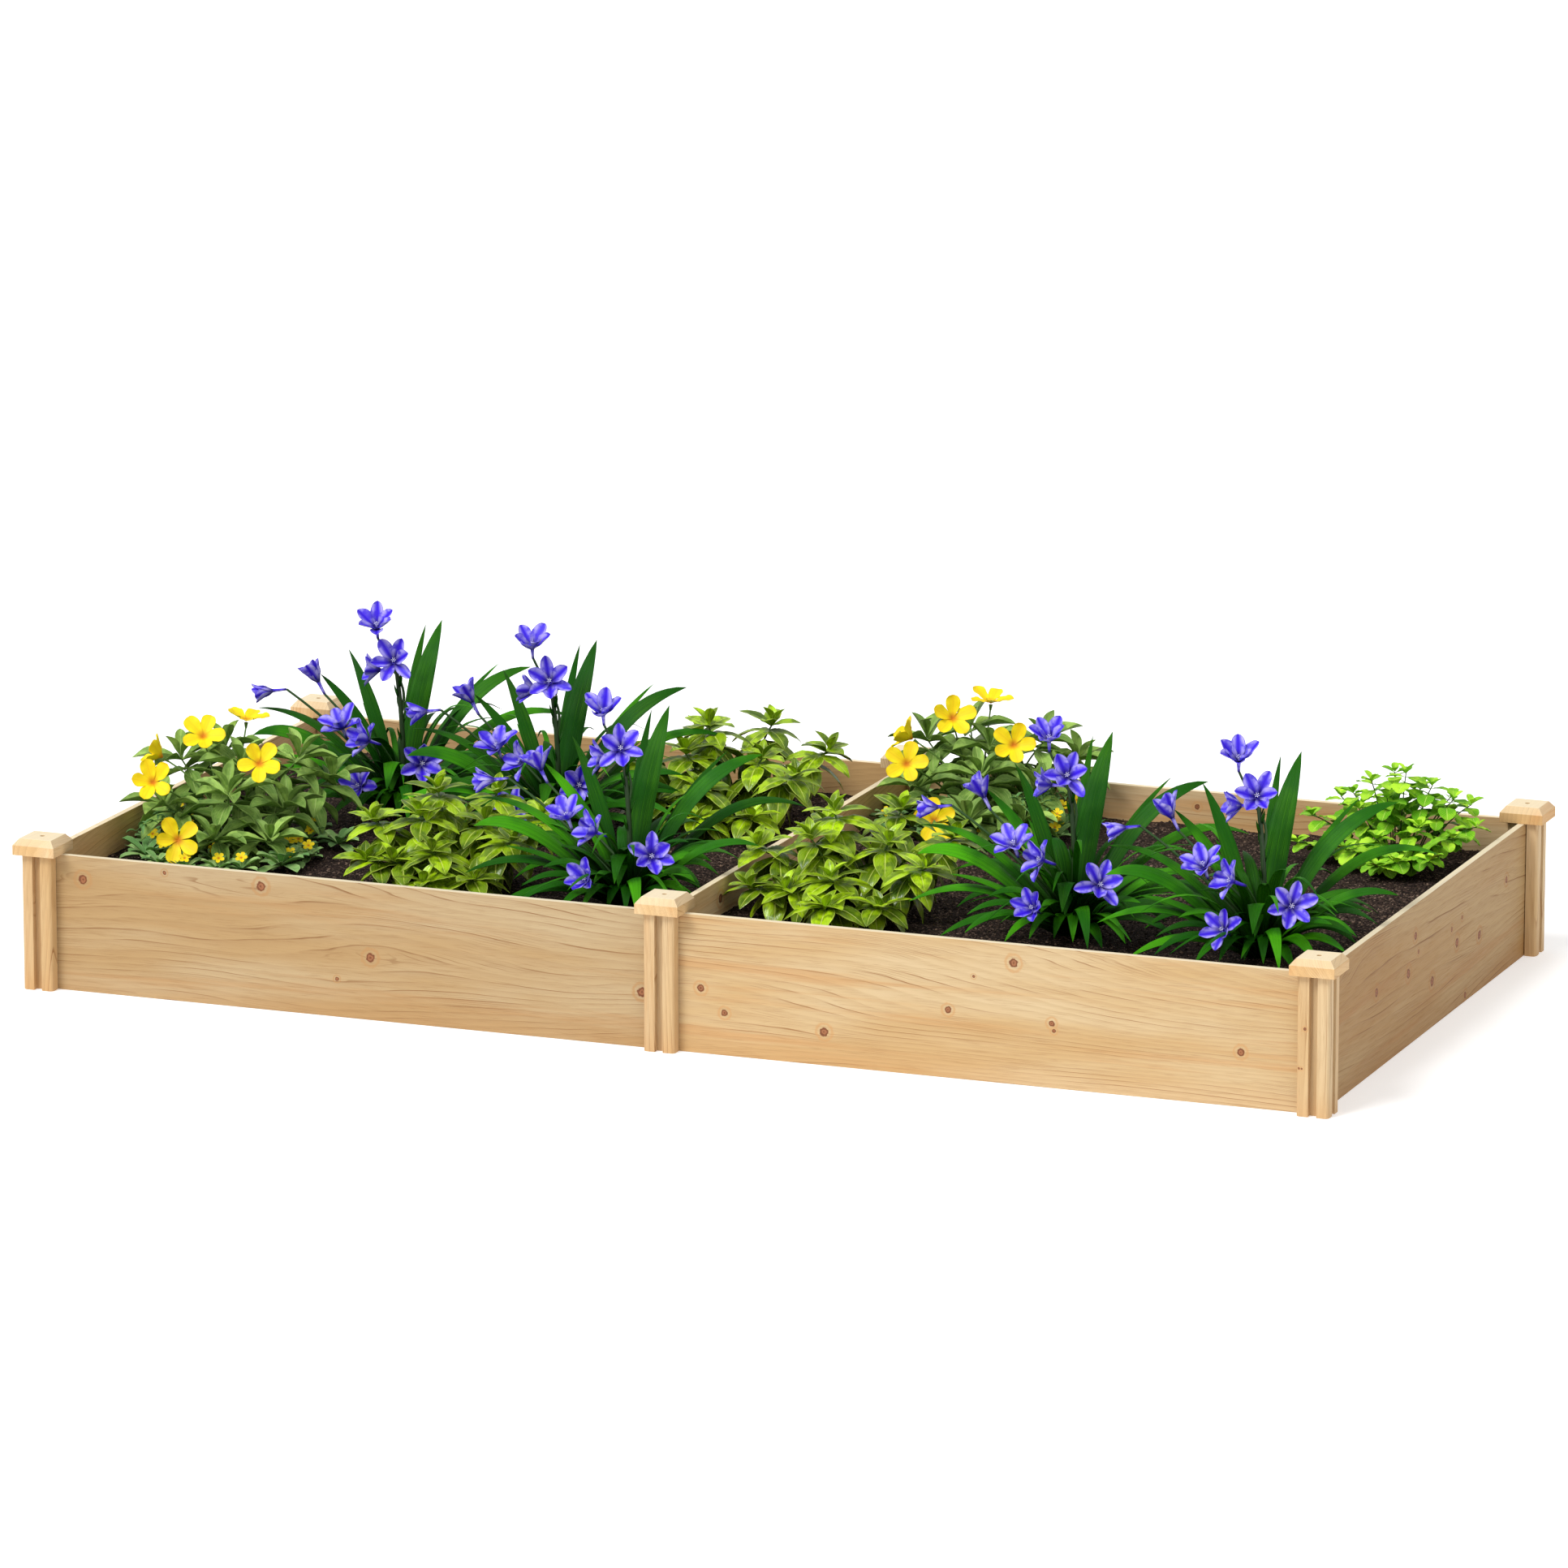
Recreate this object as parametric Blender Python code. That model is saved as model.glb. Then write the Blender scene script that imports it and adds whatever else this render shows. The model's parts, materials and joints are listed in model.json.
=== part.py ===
"""Planted raised bed: a two-bay fir frame that slots together, filled with soil and planted.

Units are metres.  +X runs along the bed, +Y to its back, +Z up.  The origin is on the ground,
under the middle of the bed.
"""
from math import cos, pi, radians, sin, tau

import bmesh
import bpy
from mathutils import Matrix, Vector

# ---- driving dimensions -------------------------------------------------------------------
BED_LENGTH = 2.358            # middle of left post to middle of right post
BED_WIDTH = 1.189             # middle of front post to middle of back post
BOARD_HEIGHT = 0.244
BOARD_THICKNESS = 0.0122
POST_SIZE = 0.0576
GROOVE_WIDTH = 0.0147
GROOVE_DEPTH = 0.0120
POST_CORNER_RADIUS = 0.0070
CAP_SIZE = 0.0800
CAP_FLAT = 0.0604             # the level square on top of a cap
CAP_EDGE = 0.0174             # height of a cap's upright edge
CAP_HEIGHT = 0.0296
SCREW_HEAD_RADIUS = 0.0040
SCREW_HEAD_HEIGHT = 0.0030
SCREW_SHANK_RADIUS = 0.0019
SCREW_SHANK_LENGTH = 0.0440
COUNTERBORE_DEPTH = 0.0055
SOIL_HEIGHT = 0.180
GAP = 0.0003                  # between pieces that touch

LEAF_THICKNESS = 0.0024
STEM_RADIUS = 0.0030
STALK_RADIUS = 0.0040
CROWN_RADIUS = 0.0200         # where the leaves of a clump grow together
CROWN_HOLE_RADIUS = 0.0065
LEAF_ROOT_RADIUS = 0.0120
LILY_CROWN_HEIGHT = 0.040
LILY_LEAF_ROOT_HEIGHT = 0.030
LILY_STALK_TOP = (-0.011, 0.006, 0.270)
LILY_FLOWER_RADIUS = 0.042
LILY_FLOWER_DEPTH = 0.022
SHRUB_CORE_RADIUS = 0.018
SHRUB_CORE_HEIGHT = 0.024
SHRUB_LEAF = (0.066, 0.024)   # length, width
YELLOW_CROWN_HEIGHT = 0.024
YELLOW_LEAF = (0.080, 0.026)
YELLOW_STEMS_BOTTOM = 0.036
YELLOW_FLOWER_RADIUS = 0.040
YELLOW_FLOWER_DEPTH = 0.012
HERB_CORE_RADIUS = 0.016
HERB_CORE_HEIGHT = 0.020
HERB_LEAF = (0.036, 0.022)
STALK_CORE_HEIGHT = 0.050

# ---- where things stand: x, y of each plant's crown ----------------------------------------
LILY_PLACES = ((-0.813, 0.142), (-0.485, 0.087), (-0.161, -0.366), (0.630, -0.279), (0.982, -0.306))
SHRUB_PLACES = ((-0.500, -0.330), (-0.238, 0.300), (0.220, -0.250))
YELLOW_PLACES = ((-0.990, -0.220), (0.207, 0.404))
HERB_PLACE = (0.980, 0.450)

# A blade is bearing in degrees, then distance and height of its tip, then of the point that
# bends it, then its width.  Distances are from the crown, heights from the soil.
LILY_BLADES = (
    (83, 0.150, 0.334, 0.030, 0.200, 0.046),
    (100, 0.200, 0.312, 0.020, 0.200, 0.020),
    (36, 0.242, 0.262, 0.100, 0.250, 0.036),
    (46, 0.340, 0.150, 0.180, 0.230, 0.024),
    (8, 0.235, 0.126, 0.130, 0.160, 0.022),
    (-6, 0.243, 0.066, 0.140, 0.130, 0.022),
    (-41, 0.184, 0.033, 0.100, 0.110, 0.024),
    (-63, 0.200, 0.032, 0.120, 0.150, 0.024),
    (-79, 0.120, 0.074, 0.070, 0.190, 0.028),
    (238, 0.235, 0.048, 0.140, 0.110, 0.020),
    (204, 0.268, 0.152, 0.170, 0.200, 0.034),
    (151, 0.154, 0.282, 0.070, 0.190, 0.026),
    (173, 0.169, 0.245, 0.050, 0.160, 0.024),
    (76, 0.230, 0.100, 0.120, 0.190, 0.024),
    (137, 0.220, 0.092, 0.100, 0.170, 0.022),
)
# A flower is the place of its throat, then the direction that it faces.
LILY_FLOWERS = (
    ((-0.041, -0.012, 0.352), (0.0, -0.1, 1.0)),
    ((-0.006, -0.016, 0.290), (0.2, -0.9, 0.25)),
    ((-0.046, -0.005, 0.268), (-0.9, -0.4, 0.1)),
    ((-0.167, 0.002, 0.240), (-0.45, -0.1, 0.9)),
    ((-0.232, -0.064, 0.225), (-0.9, -0.4, -0.1)),
    ((-0.070, -0.108, 0.185), (-0.1, -0.5, 0.85)),
    ((-0.017, -0.121, 0.165), (-0.6, -0.6, 0.35)),
    ((-0.027, -0.133, 0.082), (-0.05, -1.0, 0.15)),
    ((0.086, -0.102, 0.125), (0.55, -0.8, 0.2)),
)
# Blades that have no room: beside two shoots of the second shrub, the divider and the right side.
BLADES_LEFT_OUT = {2: (3, 13), 3: (6,), 5: (5,)}
# The tops of a shrub's shoots, each a rosette of leaves.
SHRUB_TOPS = (
    (-0.045, 0.030, 0.170), (0.020, 0.135, 0.150), (0.135, 0.080, 0.130), (0.130, -0.050, 0.110),
    (0.000, -0.107, 0.090), (-0.155, -0.020, 0.110), (-0.080, -0.095, 0.060), (-0.090, 0.115, 0.120),
)
YELLOW_TOPS = (
    (0.027, -0.063, 0.120), (0.083, 0.120, 0.150), (0.116, -0.007, 0.090), (-0.120, 0.053, 0.150),
    (-0.100, -0.064, 0.090), (0.010, 0.030, 0.150), (0.120, -0.090, 0.025), (0.030, -0.135, 0.028),
)
YELLOW_FLOWERS = (
    ((-0.057, 0.016, 0.200), (0.3, -0.7, 0.6)),
    ((-0.029, 0.140, 0.205), (0.1, -0.1, 1.0)),
    ((0.089, -0.064, 0.180), (0.3, -0.8, 0.5)),
    ((-0.120, -0.021, 0.165), (-0.7, -0.2, 0.5)),
    ((-0.097, -0.112, 0.140), (0.2, -0.8, 0.5)),
    ((-0.014, -0.138, 0.062), (0.3, -0.9, 0.4)),
)
HERB_TOPS = (
    (0.023, -0.019, 0.170), (-0.029, -0.057, 0.160), (0.114, -0.023, 0.130), (-0.150, -0.026, 0.080),
    (0.068, -0.080, 0.090), (0.140, -0.110, 0.080), (0.055, -0.165, 0.040), (-0.095, -0.080, 0.050),
    (-0.030, 0.060, 0.115),
)


def clear_scene():
    for scene_object in list(bpy.data.objects):
        bpy.data.objects.remove(scene_object, do_unlink=True)


def material(name, color, roughness, metallic=0.0):
    made = bpy.data.materials.new(name)
    made.use_nodes = True
    shader = made.node_tree.nodes["Principled BSDF"]
    shader.inputs["Base Color"].default_value = (*color, 1.0)
    shader.inputs["Roughness"].default_value = roughness
    shader.inputs["Metallic"].default_value = metallic
    return made


def new_object(name, shape, finish=None):
    """Turn a bmesh into a named object."""
    bmesh.ops.recalc_face_normals(shape, faces=shape.faces)
    mesh = bpy.data.meshes.new(name)
    shape.to_mesh(mesh)
    shape.free()
    made = bpy.data.objects.new(name, mesh)
    bpy.context.collection.objects.link(made)
    if finish:
        mesh.materials.append(finish)
    return made


def boolean(target, other, operation, self_crossing=False):
    """Join other to target, or cut it away, and remove other."""
    step = target.modifiers.new(operation.lower(), "BOOLEAN")
    step.operation = operation
    step.solver = "EXACT"
    step.use_self = self_crossing
    step.object = other
    finished = target.evaluated_get(bpy.context.evaluated_depsgraph_get())
    mesh = bpy.data.meshes.new_from_object(finished)
    target.modifiers.clear()
    target.data = mesh
    bpy.data.objects.remove(other, do_unlink=True)


def prism(outline, bottom, top):
    """A straight solid over a closed outline of (x, y) points."""
    shape = bmesh.new()
    corners = [shape.verts.new((x, y, bottom)) for x, y in outline]
    base = shape.faces.new(corners)
    raised = bmesh.ops.extrude_face_region(shape, geom=[base])["geom"]
    lifted = [item for item in raised if isinstance(item, bmesh.types.BMVert)]
    bmesh.ops.translate(shape, verts=lifted, vec=(0.0, 0.0, top - bottom))
    return shape


def rectangle(x_from, x_to, y_from, y_to):
    return [(x_from, y_from), (x_to, y_from), (x_to, y_to), (x_from, y_to)]


def rod(x, y, radius, bottom, top, sides=12):
    turns = [tau * step / sides for step in range(sides)]
    return prism([(x + radius * cos(turn), y + radius * sin(turn)) for turn in turns], bottom, top)


# ---- the frame ------------------------------------------------------------------------------
def post_outline():
    """A square with a groove in each side and round corners, counter-clockwise."""
    half = POST_SIZE / 2
    slot = GROOVE_WIDTH / 2
    floor = half - GROOVE_DEPTH
    inner = half - POST_CORNER_RADIUS
    side = [(half, -slot), (floor, -slot), (floor, slot), (half, slot)]
    for turn in (0, 30, 60, 90):
        side.append((inner + POST_CORNER_RADIUS * cos(radians(turn)),
                     inner + POST_CORNER_RADIUS * sin(radians(turn))))
    outline = []
    for quarter in range(4):
        turned = Matrix.Rotation(quarter * pi / 2, 2)
        outline += [tuple(turned @ Vector(point)) for point in side]
    return outline


def screw_bottom():
    return BOARD_HEIGHT + CAP_HEIGHT - COUNTERBORE_DEPTH - SCREW_SHANK_LENGTH


def make_post(name, x, y, finish):
    outline = [(x + px, y + py) for px, py in post_outline()]
    post = new_object(name, prism(outline, 0.0, BOARD_HEIGHT), finish)
    pilot = rod(x, y, SCREW_SHANK_RADIUS + GAP, screw_bottom() - 0.001, BOARD_HEIGHT + 0.01)
    boolean(post, new_object("pilot", pilot), "DIFFERENCE")


def make_cap(name, x, y, finish):
    bottom = BOARD_HEIGHT + GAP
    top = BOARD_HEIGHT + CAP_HEIGHT
    half = CAP_SIZE / 2
    shape = prism(rectangle(x - half, x + half, y - half, y + half), bottom, bottom + CAP_EDGE)
    shape.faces.ensure_lookup_table()
    upper = max(shape.faces, key=lambda face: face.calc_center_median().z)
    hip = bmesh.ops.extrude_face_region(shape, geom=[upper])["geom"]
    bmesh.ops.delete(shape, geom=[upper], context="FACES_ONLY")
    for item in hip:
        if isinstance(item, bmesh.types.BMVert):
            item.co.x = x + (item.co.x - x) * CAP_FLAT / CAP_SIZE
            item.co.y = y + (item.co.y - y) * CAP_FLAT / CAP_SIZE
            item.co.z = top
    cap = new_object(name, shape, finish)
    seat = top - COUNTERBORE_DEPTH
    for radius, low in ((SCREW_HEAD_RADIUS + GAP, seat), (SCREW_SHANK_RADIUS + GAP, bottom - 0.01)):
        boolean(cap, new_object("bore", rod(x, y, radius, low, top + 0.01)), "DIFFERENCE")


def make_cap_screw(name, x, y, finish):
    """A pan head over a shank, turned about the post's middle."""
    seat = BOARD_HEIGHT + CAP_HEIGHT - COUNTERBORE_DEPTH + GAP
    head = SCREW_HEAD_RADIUS
    profile = [(0.0, seat + SCREW_HEAD_HEIGHT), (head * 0.7, seat + SCREW_HEAD_HEIGHT),
               (head, seat + SCREW_HEAD_HEIGHT * 0.5), (head, seat), (SCREW_SHANK_RADIUS, seat),
               (SCREW_SHANK_RADIUS, screw_bottom() + 0.004), (0.0, screw_bottom())]
    shape = bmesh.new()
    corners = [shape.verts.new((radius, 0.0, height)) for radius, height in profile]
    edges = [shape.edges.new(pair) for pair in zip(corners, corners[1:])]
    bmesh.ops.spin(shape, geom=corners + edges, axis=(0, 0, 1), cent=(0, 0, 0), angle=tau, steps=12)
    bmesh.ops.remove_doubles(shape, verts=shape.verts, dist=0.00005)
    bmesh.ops.translate(shape, verts=shape.verts, vec=(x, y, 0.0))
    screw = new_object(name, shape, finish)
    screw.data.shade_smooth()
    screw.data.set_sharp_from_angle(angle=radians(35))


def make_board(name, start, end, finish):
    """A board between two post middles, its ends just short of the groove floors."""
    (x0, y0), (x1, y1) = start, end
    reach = POST_SIZE / 2 - GROOVE_DEPTH + GAP
    half = BOARD_THICKNESS / 2
    if y0 == y1:
        outline = rectangle(x0 + reach, x1 - reach, y0 - half, y0 + half)
    else:
        outline = rectangle(x0 - half, x0 + half, y0 + reach, y1 - reach)
    new_object(name, prism(outline, 0.0, BOARD_HEIGHT), finish)


def make_soil(name, x_from, x_to, finish):
    """Fill one bay between the boards, stepped round the four posts."""
    wall = BOARD_THICKNESS / 2 + GAP
    post = POST_SIZE / 2 + GAP
    left, right = x_from + wall, x_to - wall
    front, back = -BED_WIDTH / 2 + wall, BED_WIDTH / 2 - wall
    step = post - wall
    outline = [(left + step, front), (right - step, front), (right - step, front + step),
               (right, front + step), (right, back - step), (right - step, back - step),
               (right - step, back), (left + step, back), (left + step, back - step),
               (left, back - step), (left, front + step), (left + step, front + step)]
    new_object(name, prism(outline, 0.0, SOIL_HEIGHT), finish)


# ---- the plants -----------------------------------------------------------------------------
def heading(bearing):
    return Vector((cos(radians(bearing)), sin(radians(bearing)), 0.0))


def add_leaf(shape, points, widths, across):
    """A pointed leaf, flat below and ridged above, with a corner ring at each inner point."""
    rings = []
    for before, point, after, width in zip(points, points[1:], points[2:], widths):
        along = (after - before).normalized()
        side = (across - along * across.dot(along)).normalized() * width / 2
        ridge = side.cross(along).normalized() * LEAF_THICKNESS
        rings.append([shape.verts.new(point + offset) for offset in (side, ridge, -side)])
    first, last = shape.verts.new(points[0]), shape.verts.new(points[-1])
    for corner in range(3):
        following = (corner + 1) % 3
        shape.faces.new((first, rings[0][corner], rings[0][following]))
        shape.faces.new((last, rings[-1][following], rings[-1][corner]))
        for ring, upper in zip(rings, rings[1:]):
            shape.faces.new((ring[corner], upper[corner], upper[following], ring[following]))


def add_stem(shape, start, end, radius=STEM_RADIUS, sides=4):
    """A straight stem, closed at both ends."""
    along = (end - start).normalized()
    side = along.orthogonal().normalized() * radius
    rings = []
    for centre in (start, end):
        turned = [Matrix.Rotation(tau * step / sides, 3, along) @ side for step in range(sides)]
        rings.append([shape.verts.new(centre + offset) for offset in turned])
    shape.faces.new(rings[0])
    shape.faces.new(rings[1])
    for corner in range(sides):
        following = (corner + 1) % sides
        shape.faces.new((rings[0][corner], rings[0][following], rings[1][following], rings[1][corner]))


def add_flower(shape, throat, facing, petals, radius, depth):
    """A funnel with a corner for each petal, whose point sits in the end of its stem."""
    axis = Vector(facing).normalized()
    side = axis.orthogonal().normalized()
    apex = shape.verts.new(throat - axis * 0.004)
    middle = shape.verts.new(throat + axis * depth * 0.35)
    rim = []
    for petal in range(petals):
        turned = Matrix.Rotation(tau * petal / petals, 3, axis) @ side
        rim.append(shape.verts.new(throat + turned * radius + axis * depth))
    for edge, following in zip(rim, rim[1:] + rim[:1]):
        shape.faces.new((middle, edge, following))
        shape.faces.new((apex, following, edge))


def bend(start, control, tip, share):
    """A point on the curve from start to tip that leans towards control."""
    return start * (1 - share) ** 2 + control * 2 * share * (1 - share) + tip * share ** 2


def make_growth(name, place, core, shape, finish):
    """Join leaves and stems to the core that they grow from, and stand it on the soil."""
    grown = new_object(name, core)
    boolean(grown, new_object("growth", shape), "UNION", self_crossing=True)
    grown.data.materials.clear()
    grown.data.materials.append(finish)
    grown.location = (*place, SOIL_HEIGHT + GAP)
    return grown


def make_clump(name, place, height, shape, finish):
    """Leaves round a crown with a hole up its middle, where a flower stalk stands."""
    clump = make_growth(name, place, rod(0.0, 0.0, CROWN_RADIUS, 0.0, height, sides=8), shape, finish)
    well = rod(0.0, 0.0, CROWN_HOLE_RADIUS, -0.01, height + 0.01, sides=8)
    hole = new_object("well", well)
    hole.location = clump.location
    boolean(clump, hole, "DIFFERENCE")


def make_lily_leaves(name, place, left_out, finish):
    shape = bmesh.new()
    for number, (bearing, reach, height, mid_reach, mid_height, width) in enumerate(LILY_BLADES):
        if number in left_out:
            continue
        out = heading(bearing)
        crown = out * LEAF_ROOT_RADIUS + Vector((0.0, 0.0, LILY_LEAF_ROOT_HEIGHT))
        tip = out * reach + Vector((0.0, 0.0, height))
        control = out * mid_reach + Vector((0.0, 0.0, mid_height))
        points = [bend(crown, control, tip, share) for share in (0.0, 0.35, 0.70, 1.0)]
        add_leaf(shape, points, (width * 0.8, width), out.cross(Vector((0.0, 0.0, 1.0))))
    make_clump(name, place, LILY_CROWN_HEIGHT, shape, finish)


def make_lily_flowers(name, place, finish):
    """A stalk up the middle of the clump, with a flower at the end of each branch."""
    shape = bmesh.new()
    spine_top = Vector(LILY_STALK_TOP)
    add_stem(shape, Vector((0.0, 0.0, 0.020)), spine_top, STALK_RADIUS)
    for throat, facing in LILY_FLOWERS:
        throat = Vector(throat)
        share = min(0.98, 0.15 + throat.z * 2.2)
        joint = spine_top * share
        add_stem(shape, joint, throat)
        add_flower(shape, throat, facing, petals=6, radius=LILY_FLOWER_RADIUS, depth=LILY_FLOWER_DEPTH)
    make_growth(name, place, rod(0.0, 0.0, STALK_RADIUS, 0.0, STALK_CORE_HEIGHT, sides=6), shape, finish)


def add_shoot(shape, top, tiers, leaf_length, leaf_width, turn):
    """A stem from the crown up to top, with whorls of drooping leaves at its end."""
    foot = Vector((top.x, top.y, 0.0)).normalized() * LEAF_ROOT_RADIUS + Vector((0.0, 0.0, 0.010))
    add_stem(shape, foot, top + (top - foot).normalized() * 0.003)
    for tier, (drop, count, scale) in enumerate(tiers):
        centre = top - (top - foot).normalized() * drop
        for leaf in range(count):
            out = heading(turn + tier * 36 + leaf * 360 / count)
            length = leaf_length * scale
            lift = 0.30 - 0.22 * tier
            middle = centre + out * length * 0.52 + Vector((0.0, 0.0, length * lift))
            tip = centre + out * length + Vector((0.0, 0.0, length * (lift - 0.32)))
            root = centre - out * 0.0012 + Vector((0.0, 0.0, 0.0005 * leaf))
            add_leaf(shape, [root, middle, tip], (leaf_width * scale,), out.cross(Vector((0, 0, 1))))


def make_shrub(name, place, finish):
    shape = bmesh.new()
    for number, top in enumerate(SHRUB_TOPS):
        tiers = ((0.0, 4, 0.85), (0.028, 3, 1.0))
        add_shoot(shape, Vector(top), tiers, *SHRUB_LEAF, turn=number * 40)
    core = rod(0.0, 0.0, SHRUB_CORE_RADIUS, 0.0, SHRUB_CORE_HEIGHT, sides=8)
    make_growth(name, place, core, shape, finish)


def make_yellow_leaves(name, place, finish):
    shape = bmesh.new()
    for number, top in enumerate(YELLOW_TOPS):
        low = top[2] < 0.04
        tiers = ((0.0, 4, 0.5),) if low else ((0.0, 4, 0.8), (0.034, 3, 1.0))
        add_shoot(shape, Vector(top), tiers, *YELLOW_LEAF, turn=number * 59 + 50)
    make_clump(name, place, YELLOW_CROWN_HEIGHT, shape, finish)


def make_yellow_flowers(name, place, finish):
    """A tuft of stems up the middle of the clump, each with one flower."""
    shape = bmesh.new()
    for throat, facing in YELLOW_FLOWERS:
        throat = Vector(throat)
        add_stem(shape, Vector((0.0, 0.0, YELLOW_STEMS_BOTTOM)), throat, STEM_RADIUS * 0.8)
        add_flower(shape, throat, facing, petals=5, radius=YELLOW_FLOWER_RADIUS, depth=YELLOW_FLOWER_DEPTH)
    make_growth(name, place, rod(0.0, 0.0, STALK_RADIUS, 0.0, STALK_CORE_HEIGHT, sides=6), shape, finish)


def make_herb(name, place, finish):
    shape = bmesh.new()
    base = Vector((0.0, 0.0, HERB_CORE_HEIGHT / 2))
    length, width = HERB_LEAF
    for number, top in enumerate(HERB_TOPS):
        top = Vector(top)
        add_stem(shape, base, top, STEM_RADIUS * 0.8)
        for pair, share in enumerate((0.98, 0.72)):
            joint = base.lerp(top, share)
            for half_turn in (0, 180):
                out = heading(number * 50 + pair * 90 + half_turn)
                middle = joint + out * length / 2 + Vector((0.0, 0.0, 0.006))
                tip = joint + out * length + Vector((0.0, 0.0, 0.002))
                root = joint - out * 0.0012
                add_leaf(shape, [root, middle, tip], (width,), out.cross(Vector((0, 0, 1))))
    core = rod(0.0, 0.0, HERB_CORE_RADIUS, 0.0, HERB_CORE_HEIGHT, sides=8)
    make_growth(name, place, core, shape, finish)


# ---- the whole bed --------------------------------------------------------------------------
def make_frame():
    fir = material("fir", (0.74, 0.53, 0.31), 0.60)
    zinc = material("zinc_screw", (0.30, 0.28, 0.26), 0.40, metallic=1.0)
    columns = {"left": -BED_LENGTH / 2, "middle": 0.0, "right": BED_LENGTH / 2}
    rows = {"front": -BED_WIDTH / 2, "back": BED_WIDTH / 2}
    for row, y in rows.items():
        for column, x in columns.items():
            make_post(f"post_{row}_{column}", x, y, fir)
            make_cap(f"cap_{row}_{column}", x, y, fir)
            make_cap_screw(f"cap_screw_{row}_{column}", x, y, zinc)
        make_board(f"board_{row}_left", (columns["left"], y), (0.0, y), fir)
        make_board(f"board_{row}_right", (0.0, y), (columns["right"], y), fir)
    for column, side in (("left", "board_side_left"), ("middle", "board_divider"),
                         ("right", "board_side_right")):
        x = columns[column]
        make_board(side, (x, rows["front"]), (x, rows["back"]), fir)


def make_planting():
    soil = material("soil", (0.045, 0.028, 0.020), 0.95)
    make_soil("soil_left", -BED_LENGTH / 2, 0.0, soil)
    make_soil("soil_right", 0.0, BED_LENGTH / 2, soil)
    lily_leaf = material("lily_leaf", (0.04, 0.17, 0.02), 0.45)
    lily_petal = material("lily_petal", (0.09, 0.06, 0.60), 0.55)
    shrub = material("shrub", (0.17, 0.30, 0.02), 0.30)
    yellow_leaf = material("yellow_plant_leaf", (0.10, 0.22, 0.05), 0.60)
    yellow_petal = material("yellow_petal", (0.85, 0.62, 0.01), 0.55)
    herb = material("herb", (0.22, 0.45, 0.04), 0.50)
    for number, place in enumerate(LILY_PLACES, 1):
        make_lily_leaves(f"lily_{number}_leaves", place, BLADES_LEFT_OUT.get(number, ()), lily_leaf)
        make_lily_flowers(f"lily_{number}_flowers", place, lily_petal)
    for number, place in enumerate(SHRUB_PLACES, 1):
        make_shrub(f"shrub_{number}", place, shrub)
    for number, place in enumerate(YELLOW_PLACES, 1):
        make_yellow_leaves(f"yellow_plant_{number}_leaves", place, yellow_leaf)
        make_yellow_flowers(f"yellow_plant_{number}_flowers", place, yellow_petal)
    make_herb("herb_1", HERB_PLACE, herb)


clear_scene()
make_frame()
make_planting()
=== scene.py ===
"""Planted raised bed: the finish of every surface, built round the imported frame.

Everything is in metres in the frame's own axes: +X along the bed, +Y to its back, +Z up.
The tables of knots, leaves, shoots and flowers are in millimetres and degrees.
"""
import json
from math import cos, pi, radians, sin, tau
from random import Random

import bmesh
import bpy
import numpy as np
from mathutils import Matrix, Vector, noise

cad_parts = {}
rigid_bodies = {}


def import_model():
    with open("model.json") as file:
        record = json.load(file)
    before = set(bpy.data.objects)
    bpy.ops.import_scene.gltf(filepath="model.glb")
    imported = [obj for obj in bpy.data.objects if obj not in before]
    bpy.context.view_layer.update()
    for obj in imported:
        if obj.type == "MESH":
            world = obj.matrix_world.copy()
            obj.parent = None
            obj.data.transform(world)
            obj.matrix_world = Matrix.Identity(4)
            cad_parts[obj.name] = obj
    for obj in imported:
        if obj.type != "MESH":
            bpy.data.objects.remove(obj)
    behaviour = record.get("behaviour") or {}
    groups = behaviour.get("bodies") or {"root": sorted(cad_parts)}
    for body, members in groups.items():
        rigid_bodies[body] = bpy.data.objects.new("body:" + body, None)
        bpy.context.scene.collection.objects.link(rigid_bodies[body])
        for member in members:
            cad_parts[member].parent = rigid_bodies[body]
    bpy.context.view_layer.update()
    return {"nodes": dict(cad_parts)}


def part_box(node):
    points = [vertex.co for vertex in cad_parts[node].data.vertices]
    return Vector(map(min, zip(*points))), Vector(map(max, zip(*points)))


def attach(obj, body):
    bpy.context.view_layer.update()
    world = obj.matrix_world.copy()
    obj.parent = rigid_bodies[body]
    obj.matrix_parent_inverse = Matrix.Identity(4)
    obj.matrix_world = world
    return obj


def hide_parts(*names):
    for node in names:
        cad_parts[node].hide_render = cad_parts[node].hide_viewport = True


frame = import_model()
SOIL_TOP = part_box("soil_left")[1].z
BOARD_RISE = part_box("board_divider")[1].z - SOIL_TOP
UP = Vector((0.0, 0.0, 1.0))
JOIN = 0.00001
GOLDEN_TURN = 137.5

# Where each plant stands, in metres.
LILY_PLACES = ((-0.813, 0.142), (-0.485, 0.087), (-0.161, -0.366), (0.630, -0.279), (0.982, -0.306))
SHRUB_PLACES = ((-0.500, -0.330), (-0.238, 0.300), (0.220, -0.250))
YELLOW_PLACES = ((-0.990, -0.220), (0.207, 0.404))
HERB_PLACE = (0.980, 0.450)

# Everything that is made once and used by name.
FINISHES = {}
SHAPES = {}
TREES = {}


# ---- small tools ----
def mix(first, second, share):
    return first + (second - first) * share


def metres(lengths):
    return [length / 1000.0 for length in lengths]


def heading(bearing, rise=0.0):
    """A unit vector at a bearing from +X and an angle above the ground, both in degrees."""
    bearing, rise = radians(bearing), radians(rise)
    return Vector((cos(bearing) * cos(rise), sin(bearing) * cos(rise), sin(rise)))


def curve_point(points, share):
    """The point at a share of the curve that the given points steer."""
    points = [Vector(point) for point in points]
    while len(points) > 1:
        points = [first.lerp(second, share) for first, second in zip(points, points[1:])]
    return points[0]


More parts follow.
